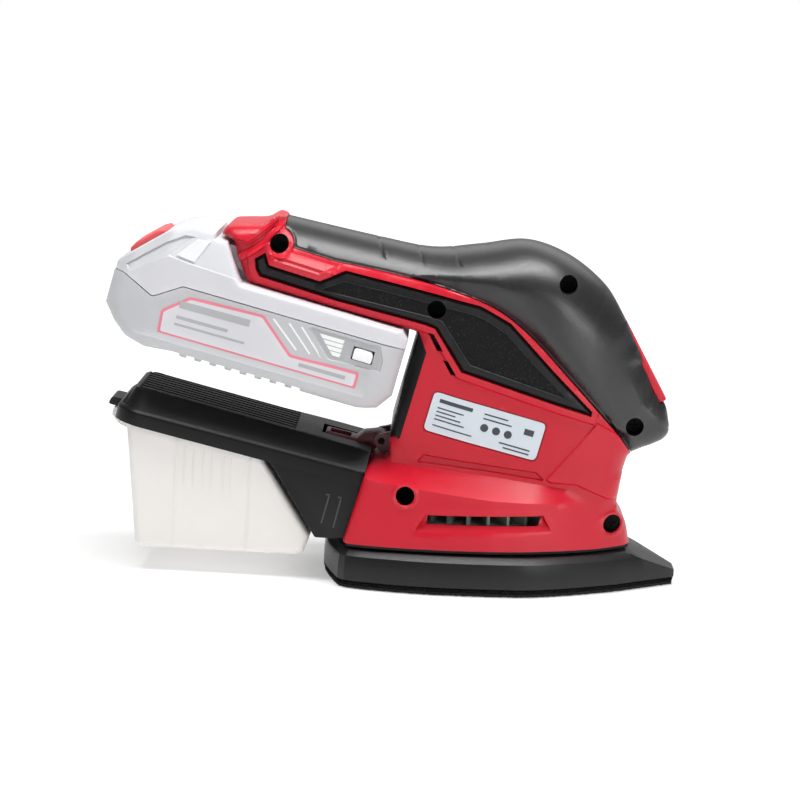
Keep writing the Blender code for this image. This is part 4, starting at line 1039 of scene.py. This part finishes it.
def make_foot():
    levels = ((3, 0.5), (3.4, 0.05), (8, 0.1), (13, 0.5), (13.6, 0.75), (15.6, 3), (16, 3.9))
    pad = stack("pad_shell", [[(x, y, z) for x, y in grown(FOOT_OUTLINE, -inset)] for z, inset in levels])
    slope = [(64, 16), (64, 30), (100, 30), (100, 1), (86.2, 6.5)]
    cut(pad, across("tip_slope", slope, -60, 60), rod("recess", 25.5, (0, 0, 10.8), (0, 0, 22), 72),
        rod("deeper", 14.6, (0, 0, 10.8), (0, 0, 11), 48),
        rod("bearing_bore", 11.3, (ORBIT, 0, 6.7), (ORBIT, 0, 22), 48), *dust_holes(0, 30))
    dress(pad, PAD, "pad", "pad_plastic", "sanding_pad", angle=22)
    chance = random.Random(7)
    outline = dense(closed(FOOT_OUTLINE), 0.8)[:-1]
    normals = grown(outline, 1)
    for name, levels, inset, amount, material, slot, node in FOOT_LAYERS:
        rings = []
        for z in levels:
            ring = []
            for (x, y), (nx, ny) in zip(outline, normals):
                by = -inset - amount * chance.random()
                ring.append((x + (nx - x) * by, y + (ny - y) * by, z))
            rings.append(ring)
        layer = cut(stack(name, rings), *dust_holes(-2, 6))
        dress(layer, material, "pad", slot, node)


# ---- battery ----

def battery_width(u, v):
    """Half the battery's width along it: chamfered towards the rear, drawn in at the front."""
    return np.interp(u, (-55, -48.5, -37, -34.5, 61, 66, 72),
                     (30, 35.2, 37.6, BATTERY_HALF, BATTERY_HALF, 36.6, 34.4))


def edge_round(u, v, outline, inset, reach):
    """How far a side curves in, from none at reach inside an outline to inset on it."""
    share = np.clip(depth_in(u, v, outline) / reach, 0, 1)
    return -inset * (1 - np.sqrt(1 - (1 - share) ** 2))


UPPER_CASE = [
    (-54.4, -9.2), (-54.4, -5.6), (-36.6, 12.4), (-28, 16.6), (-18.2, 16.6), (-17.6, 14.2), (-12.6, 14.2),
    (-3.6, 0.9), (-2, -0.3), (67.6, -0.6), (70.8, -3.6), (70.8, -7.4), (-24.6, -7.4), (-35.2, -14.4),
    (-36.4, -14.6), (-49, -9.2),
]
CASE_STEP = [(-24.6, -7.8), (-35.1, -14.8), (-36.5, -15), (-49.1, -9.6)]
TEETH = [(36 - 6.5 * number - back, v) for number in range(9)
         for back, v in ((0, -36.4), (2.6, -36.4), (2.9, -35), (6.2, -35))]
LOWER_CASE = [
    (-54.8, -9.6), (-54.8, -24), (-49, -30), (-43, -34.6), (-34, -36.4), *reversed(TEETH),
    (42, -36.4), (58, -36.4), (66, -34.6), (70.8, -28), (70.8, -7.8), *CASE_STEP,
]
BATTERY_PLATE = [(-30, -29.1), (-30.8, -19.3), (-20.5, -10.9), (10.6, -9.6), (25.8, -22.4), (55.2, -21.6),
                 (55.2, -29.1)]
GAUGE_FRAME = [(29.8, -9.8), (31, -8.3), (60.6, -8.3), (63.3, -14.5), (63.3, -19.1), (40.9, -20)]
GAUGE_HOLE = rectangle(50, 59, -17.2, -11.6)
GAUGE_BUTTON = [(50.5, -12.4), (51.6, -12), (57.6, -12), (58.6, -13.2), (58.6, -16.8), (50.5, -16.8)]
HUMP_BAND = [(-50.4, -5.8), (-36.8, 7.6), (-29.6, 12.6), (-25.4, 12.8), (-28.4, 10.6), (-33, 4.2),
             (-48.6, -7.6)]
HUMP_PANEL = [(-31.2, 3.8), (-24.2, 12.4), (-18.6, 12.8), (-22.6, 3)]
SHOULDER = [(-60, -17.5), (-48.8, -8.6), (-33.9, 2.9), (-23.3, 2), (-0.1, 1.1), (80, 1)]
UPPER_CASE_TOP = [(-70, -30), *UPPER_CASE[1:11], (70.8, -30)]
LOWER_CASE_ROUND = [(-55, 5), (-54.9, -24), (-49, -30), (-43, -34.6), (-34, -36.6),
                    (58, -36.6), (66, -34.6), (71, -28), (71, 5)]
PLATE_SURROUND = [(-33, -30.6), (-33.8, -18), (-22, -9.2), (29, -9.2), (40.4, -20.4), (58.6, -20.4),
                  (58.6, -30.6)]


def over_shoulder(u, v):
    return v - np.interp(u, *zip(*SHOULDER))


def upper_case_side(u, v):
    """The upper case's half width: full up to the shoulder, then stepped and sloped in for the hump."""
    over = over_shoulder(u, v)
    width = battery_width(u, v) - 1.2 * np.clip(over / 0.5, 0, 1) - 0.55 * np.clip(over - 0.5, 0, None)
    width = width + edge_round(u, v, UPPER_CASE_TOP, 1.6, 1.6)
    width = width - 0.9 * np.clip(depth_in(u, v, HUMP_BAND) / 0.4, 0, 1)
    return width + 0.8 * np.clip(depth_in(u, v, HUMP_PANEL) / 0.5, 0, 1)


def upper_case_colours(u, y, v):
    """The side of the hump is grey (1), but for its small panel, and the rest is pale (0)."""
    side = (np.abs(y) > 17) & (over_shoulder(u, v) > 0.1) & (u < 0)
    return side & (depth_in(u, v, UPPER_CASE_TOP) > 0.3) & (depth_in(u, v, HUMP_PANEL) < 0)


def lower_case_side(u, v):
    """The lower case's half width: rounded below, with a ridge along it and two sunk fields."""
    width = battery_width(u, v) + edge_round(u, v, LOWER_CASE_ROUND, 4.5, 5.5)
    width = width - 0.7 * ramp(depth_in(u, v, GAUGE_FRAME) / 0.5)
    width = width + 0.5 * ramp(1 - np.abs(v + 31.4) / 0.9) * (u > -40) * (u < 60)
    return width - 0.45 * ramp(depth_in(u, v, PLATE_SURROUND) / 0.5)


def battery_slab(name, outline, width, spacing, lines=()):
    """A piece of the battery that is the same on both sides, in the battery's own axes."""
    return slab(name, outline, lambda u, v: -width(u, v), width, spacing, lines)


def battery_prism(name, profile, half_width):
    """A straight piece across the battery, in the battery's own axes."""
    return across(name, profile, -half_width, half_width)


def set_battery(obj):
    return place(obj, BATTERY_ORIGIN, BATTERY_TILT)


def make_battery():
    lines = [*with_inner(HUMP_BAND, 0.4), closed(HUMP_PANEL), SHOULDER, *lines_inside(HUMP_PANEL, 0.5),
             [(u, v + 0.5) for u, v in SHOULDER], *lines_inside(UPPER_CASE_TOP, 0.12, 0.4, 0.9, 1.6)]
    upper = battery_slab("battery_top_shell", UPPER_CASE, upper_case_side, 1.6, lines)
    join(upper, battery_prism("rail_stem", rectangle(-14, 57, -3, 6), 17.3),
         battery_prism("rail_flange", rectangle(-13, 57, 4, 12.8), 20.3))
    pocket = [(-47.2, -7), (-34.2, 5.9), (-53, 24.7), (-66, 11.8)]
    cut(upper, battery_prism("inside", rectangle(-33, 54, -20, -3.2), 32),
        battery_prism("button_pocket", pocket, 17))
    paint(upper, (PALE, GREY), upper_case_colours)
    dress(set_battery(upper), PALE, "battery", "case_pale", "battery_upper_case")

    button = [(-48.9, -4.4), (-37.1, 7.5), (-40.2, 10.7), (-43, 9.1), (-50.1, 2.1), (-52, -1.3)]
    release = bevel(battery_prism("release_cap", button, 16.4), 0.8, 3)
    for along in (-2.1, 0, 2.1):
        rib = [(along + u, along + v) for u, v in ((-47.4, 5.5), (-46.5, 6.4), (-47.3, 7.2), (-48.2, 6.3))]
        cut(release, battery_prism("rib", rib, 11))
    dress(set_battery(release), SOFT_RED, "battery_release", "red_shell", "battery_release_button")

    lines = [*with_inner(GAUGE_FRAME, 0.5), *([(-40, v), (60, v)] for v in (-30.6, -31.4, -32.2)),
             *lines_inside(LOWER_CASE_ROUND, 0.3, 1, 2.2, 3.8, 5.5)]
    lower = battery_slab("battery_tub", LOWER_CASE, lower_case_side, 1.7, lines)
    well = [(-48.4, -17), (-48.4, -24.4), (-40, -31.2), (-32.4, -33.6), (57.6, -33.6), (64.8, -31.6),
            (68.6, -26.2), (68.6, 4), (-31.5, 4), (-33.5, -17)]
    cut(lower, battery_prism("well", well, 33.6), across("gauge_hole", GAUGE_HOLE, -60, -30))
    dress(set_battery(lower), GREY, "battery", "case_grey", "battery_lower_case")
    make_battery_trim()


def battery_side(half):
    """How marks lie on the battery's right side, half away from its middle."""
    def mapping(u, v, lift):
        x, z = on_battery(u, v)
        return x, -(half + lift), z
    return mapping


def make_battery_trim():
    flush, sunk = battery_side(BATTERY_HALF - 0.45), battery_side(BATTERY_HALF - 0.7)
    bars = [strip((-24, -15), (6, -14.6), 3), strip((-24, -20.4), (-2, -20.2), 1.4),
            strip((-24, -23.4), (6, -23.2), 1), strip((30, -25.4), (50, -25.4), 1.6)]
    slashes = [strip((top, -9.9), (foot, -19.9), 0.7)
               for top, foot in ((14.8, 27.4), (21.6, 33.2), (27, 38))]
    for name, rows, height, material, *nodes in (
            ("battery_plate_border", [rounded(BATTERY_PLATE, 1.2)], 0.18, PINK, "battery_label"),
            ("battery_plate", [rounded(grown(BATTERY_PLATE, -1.15), 0.9)], 0.26, PALE),
            ("battery_plate_stripes", bars, 0.32, MID_GREY),
            ("battery_slashes", slashes, 0.18, WHITE_MARK)):
        dress(marks(name, rows, height, flush), material, "battery", "plate", *nodes)
    gauge = marks("gauge_window", [rounded(grown(GAUGE_FRAME, -1.1), 0.8)], 0.2, sunk)
    cut(gauge, across("gauge_hole", mapped(on_battery, GAUGE_HOLE), -60, -30))
    dress(gauge, MID_GREY, "battery", "case_grey", "gauge_panel")
    lamps = [[(34.9 + fall, -10.4 - fall), (45.6, -10.4 - fall), (45.4, -12 - fall),
              (36.5 + fall, -12 - fall)] for fall in (0, 1.95, 3.9, 5.85)]
    dress(marks("gauge_lamps", lamps, 0.4, sunk), WHITE_MARK, "battery", "plate")
    button = across("gauge_cap", mapped(on_battery, rounded(GAUGE_BUTTON, 0.6)), -BATTERY_HALF - 0.6,
                    -BATTERY_HALF + 1)
    dress(bevel(button, 0.25, 2), WHITE_MARK, "gauge", "case_pale", "gauge_button")


# ---- dust box ----

def round_rear(u, half, corner, count):
    """The round rear corners of an outline in the lid's plane."""
    return (arc((u + corner, half - corner), corner, 90, 180, count)
            + arc((u + corner, corner - half), corner, 180, 270, count))


LID_REAR = round_rear(-108, 36, 13.5, 10)
LID_OUTLINE = LID_REAR + [(-1, -36), (0, -35), (0, 35), (-1, 36)]
LID_OUTLINE_OPEN = LID_REAR + [(30, -36), (30, 36)]
PANEL_OUTLINE = round_rear(-103, 24, 6, 7) + [(6, -27), (6, 27)]
RIB_FIELD = rectangle(-101, -33, -22.2, 22.2)
RIB_PITCH, RIB_COUNT = 5.5, 8


def lid_top(u, y):
    """The lid's height over its plane: a bead round the rim, a sloping shoulder and a raised panel."""
    away, panel = depth_in(u, y, LID_OUTLINE_OPEN), depth_in(u, y, PANEL_OUTLINE)
    top = np.interp(u, (-103, 0), (5.2, 4.1))
    height = -3.4 - 1.1 * (1 - np.sqrt(1 - np.clip(1 - away / 1.2, 0, 1) ** 2))
    height = height + 0.8 * ramp(1 - np.abs(away - 1.5) / 1.1)
    inside = np.clip(away - 2.6, 0, None)
    height = height + (top + 2.7) * inside / (inside + np.clip(-panel, 0, None) + TINY)
    height = height + 0.7 * ramp(panel / 1.2)
    within = ramp(depth_in(u, y, RIB_FIELD) / 0.35)
    phase = np.abs((y / RIB_PITCH + 0.5 * (RIB_COUNT + 1)) % 1 - 0.5) * RIB_PITCH
    return height - within * (0.2 + 1.5 * np.clip((1.75 - phase) / 0.5, 0, 1))


def lid_lines():
    lines = [grown(LID_OUTLINE_OPEN, -by) for by in (0.1, 0.4, 0.9, 1.5, 2.1, 2.6)]
    lines += [grown(PANEL_OUTLINE, -by) for by in (0, 0.4, 0.8, 1.2)]
    lines += with_inner(RIB_FIELD, 0.35)
    for number in range(RIB_COUNT + 1):
        centre = (number - 0.5 * RIB_COUNT) * RIB_PITCH
        edges = [centre + shift for shift in (-1.75, -1.25, 1.25, 1.75)]
        lines += [[(-100.6, y), (-33.4, y)] for y in edges if abs(y) < 21.8]
    return lines


def lid_hollow(name, u, half, corner, top):
    """A space under the lid with round rear corners, in the lid's axes."""
    outline = round_rear(u, half, corner, 8) + [(-41.6, -half), (-41.6, half)]
    return upward(name, outline, -14, top)


def lid_bar(name, profile, y0, y1):
    """A (u, v) outline of the lid's axes, made along Y in the frame's axes."""
    return across(name, mapped(on_lid, profile), y0, y1)


def make_lid():
    lid = slab("lid_shell", LID_OUTLINE, level(-9.4), lid_top, 2.2, lid_lines(), plan=True)
    cut(lid, lid_hollow("lid_inside", -103.6, 33.6, 10.6, -5.6),
        lid_hollow("lid_vault", -97, 25.6, 6, -1.8))
    place(lid, LID_ORIGIN, LID_TILT)
    neck = [on_lid(-42, -5), on_lid(-42, -9), (-88.2, 49.2), (-68.1, 18.2), (-54, 18.2),
            (-46, 45), on_lid(-0.6, -5)]
    join(lid, bevel(across("neck", neck, -LID_NECK_HALF, LID_NECK_HALF), 0.9, 3))
    spout = [(-86, 47), (-80, 25), (-40, 25), (-40, 35), (-62, 35), (-74, 47)]
    cut(lid, across("spout", spout, -10.5, 10.5),
        lid_bar("latch_slot", rectangle(-22, 3, 0.6, 8), -10.9, 10.9))
    tab = mapped(on_lid, [(-113.4, -8), (-104, -8), (-104, -4.4), (-112.6, -4.6)])
    join(lid, across("tab", rounded(tab, 1.2), -9, 9))
    front_trim = [(-56.15, 18.2), (-47.45, 50.2), (-20, 50.2), (-20, 5), (-59.75, 5)]
    cut(lid, across("front_trim", front_trim, -60, 60))
    dress(lid, BLACK, "dust_box", "black_shell", "dust_box_lid", angle=30)
    rows = []
    for (x, z), foot in (((-62.7, 36.8), (-65.6, 24.6)), ((-57.7, 35.9), (-60.5, 23))):
        rows += [strip((x - 1.5, z + 0.2), (x + 0.3, z), 0.7), strip((x, z), foot, 0.7)]
    # The neck's ridges are painted lighter as a painted highlight.
    for word, side in SIDES:
        ridges = marks(word + "_neck_ridges", rows, 0.35,
                       lambda a, b, lift: (a, side * (LID_NECK_HALF + lift), b))
        dress(ridges, PAINTED_RIDGE_HIGHLIGHT, "dust_box", "black_shell")


def box_outline(inset):
    top = 6 if inset else -2.6
    rear, front = on_lid(-102 + inset, top), on_lid(-42.6 - inset, top)
    elbow_rear, elbow_front = on_lid(-102 + inset, -9.9), on_lid(-42.6 - inset, -9.9)
    bottom = 9.4 + inset
    return [
        rear, elbow_rear, (-144.2 + inset, bottom + 2.4), (-142 + inset, bottom), (-75.4 - inset, bottom),
        (-72.6 - inset, bottom + 1.6), (-70.2 - inset * 1.2, 18.4), elbow_front, front,
    ]


# Rows of (x0, x1, z0, z1) of the thin ribs on the container's sides.
BOX_RIBS = ((-127.9, -127.2, 10.6, 56), (-97, -96.3, 10.4, 49.6), (-124.2, -123.7, 36.2, 53.4),
            (-120.6, -120.2, 36, 52.8), (-116.4, -115.9, 35.4, 52), (-112.9, -112.5, 35, 51.2),
            (-107.9, -107.4, 34.2, 50.2), (-104.9, -104.5, 33.4, 49.6))


def make_container():
    box = bevel(across("container_shell", box_outline(0), -BOX_HALF, BOX_HALF), 3.2, 5, 60)
    inner_half = BOX_HALF - BOX_WALL
    inner = bevel(across("box_inside", box_outline(BOX_WALL), -inner_half, inner_half), 2, 4, 60)
    for side in (RIGHT, LEFT):
        y0, y1 = sorted((side * (BOX_HALF - 0.6), side * (BOX_HALF + 0.35)))
        join(box, *(block("rib", (x0, y0, z0), (x1, y1, z1)) for x0, x1, z0, z1 in BOX_RIBS))
    shelf = rectangle(-112, -30, -6.4, 4)
    cut(box, inner, lid_bar("shelf", shelf, 25, 60), lid_bar("shelf", shelf, -60, -25),
        lid_bar("rear_shelf", rectangle(-112, -96.4, -6.4, 4), -60, 60),
        block("inlet", (-92, -10, 27), (-70, 10, 44)))
    lip = [(-101, -16.5), (-101, -12.6), (-106.6, -12.6), (-106.6, -8.7), (-110.8, -8.7), (-110.8, -12.2),
           (-107, -15.4)]
    join(box, across("lip", rounded(mapped(on_lid, lip), 0.7, 3), -8, 8))
    dress(box, MILKY, "container", "container", "dust_container")


def make_latch():
    x, z = LATCH_PIN
    lever = [*mapped(on_lid, [(-20.5, 1.2), (-8, 1.2), (1, 1.2)]), (x - 1.4, z - 3.2), (x + 2, z - 2.6),
             (x + 3, z), (x + 2, z + 2.6), (x - 1, z + 3.2), (-50.5, 58.6), (-52.4, 57.2),
             *mapped(on_lid, [(-7, 4.6), (-20.5, 4.4)])]
    latch = bevel(across("latch_lever", rounded(lever, 0.9, 4), -6.8, 6.8), 0.6, 2, 40)
    cut(latch, lid_bar("thumb_pocket", rectangle(-18.6, -9.5, 2.8, 5), -4.6, 4.6), latch_bore())
    # The lever's dark maroon is red plastic with the slot's shade painted in.
    dress(latch, SHADED_LATCH_RED, "latch", "latch_red", "dust_latch")


# ---- pieces that stay as the frame has them ----

KEPT = (
    (STEEL, ("motor_can", "motor_rotor", "main_bearing", "bearing_plate", "eccentric", "eccentric_bearing")),
    (DARK_STEEL, ("latch_pin", *("housing_screw_%d" % n for n in range(1, 7)))),
    (MAGNET, ("motor_magnet_front", "motor_magnet_rear")),
    (FAN, ("fan",)),
    (BLACK, ("motor_end_cap", "dust_volute", "switch_body", "terminal_block", "battery_contact_block",
             "board_capacitor")),
    (RUBBER, ("rubber_foot_rear_right", "rubber_foot_rear_left", "rubber_foot_front_right",
              "rubber_foot_front_left", "skirt_seal", "motor_lead")),
    (COPPER, ("terminal_blade_1", "terminal_blade_2", "terminal_blade_3")),
    (BOARD, ("controller_board",)),
    (LEAD, ("battery_lead",)),
    (CELL, tuple("battery_cell_%d" % n for n in range(1, 6))),
    (PAPER, ("dust_filter",)),
)


def dress_kept():
    for material, names in KEPT:
        for name in names:
            obj = NODES[name]
            obj.data.materials.clear()
            obj.data.materials.append(material)
            shade(obj, 40)


# ---- stage, light and camera ----

TARGET = (-0.03, 0, 0.08)
# Rows of (name, place in metres, size in metres, power in watts).
LIGHTS = (("top_softbox", (0, -0.1, 0.85), (0.9, 0.3), 9.4),
          ("rear_softbox", (0, 0.95, 0.75), (1.5, 0.5), 3.2),
          ("front_softbox", (1.05, -1.15, 0.5), (0.7, 0.5), 6))
WHITE = (1, 1, 1, 1)
FLOOR_HALF = 20000
CAMERA_PLACE, CAMERA_LENS = (-23.649, -1061.70, 241.057), 112.5
CAMERA_ELEVATION, CAMERA_YAW, CAMERA_ROLL = (math.radians(angle) for angle in (9, 0.65, 3))


def area_light(name, place_at, size, power):
    light = bpy.data.lights.new(name, "AREA")
    light.shape = "RECTANGLE"
    light.size, light.size_y = size
    light.energy = power
    obj = add_object(name, light)
    obj.location = place_at
    obj.rotation_euler = (Vector(TARGET) - Vector(place_at)).to_track_quat("-Z", "Y").to_euler()


def make_stage():
    """A floor that glows more with distance, a sky that is brightest at the horizon, and the lights."""
    scene = bpy.context.scene
    scene.view_settings.view_transform = "Standard"
    scene.world = bpy.data.worlds.new("studio")
    scene.world.use_nodes = True
    tree = scene.world.node_tree
    direction, split = tree.nodes.new("ShaderNodeTexCoord"), tree.nodes.new("ShaderNodeSeparateXYZ")
    tree.links.new(direction.outputs["Generated"], split.inputs["Vector"])
    background = tree.nodes["Background"]
    tree.links.new(map_range(tree, split.outputs["Z"], 0.02, 0.14, 1, 0.24), background.inputs["Strength"])
    background.inputs["Color"].default_value = WHITE

    floor = upward("floor", rectangle(-FLOOR_HALF, FLOOR_HALF, -FLOOR_HALF, FLOOR_HALF), -20, -0.3)
    pale = finish("pale_floor", (216, 216, 216), 0.6, 4, 0.02, 0.005)
    tree = pale.node_tree
    position, far = tree.nodes.new("ShaderNodeTexCoord"), tree.nodes.new("ShaderNodeVectorMath")
    far.operation = "LENGTH"
    tree.links.new(position.outputs["Object"], far.inputs[0])
    shader = tree.nodes["Principled BSDF"]
    glow = map_range(tree, far.outputs["Value"], 0.35, 1.5, 0.36, 0.95)
    tree.links.new(glow, shader.inputs["Emission Strength"])
    shader.inputs["Emission Color"].default_value = WHITE
    floor.data.materials.append(pale)
    for row in LIGHTS:
        area_light(*row)


def make_camera():
    camera = bpy.data.cameras.new("camera")
    camera.lens, camera.sensor_width = CAMERA_LENS, 36
    camera.clip_start, camera.clip_end = 0.05, 60
    obj = add_object("camera", camera)
    level_by, aside = math.cos(CAMERA_ELEVATION), Vector((math.cos(CAMERA_YAW), math.sin(CAMERA_YAW), 0))
    forward = Vector((-math.sin(CAMERA_YAW) * level_by, math.cos(CAMERA_YAW) * level_by,
                      -math.sin(CAMERA_ELEVATION)))
    up = aside.cross(forward)
    right = aside * math.cos(CAMERA_ROLL) + up * math.sin(CAMERA_ROLL)
    upright = up * math.cos(CAMERA_ROLL) - aside * math.sin(CAMERA_ROLL)
    turn = Matrix((right, upright, -forward)).transposed().to_4x4()
    obj.matrix_world = Matrix.Translation(Vector(CAMERA_PLACE) * MM) @ turn
    bpy.context.scene.camera = obj


make_camera()
make_stage()
make_shells()
make_switch()
make_foot()
make_battery()
make_lid()
make_container()
make_latch()
dress_kept()
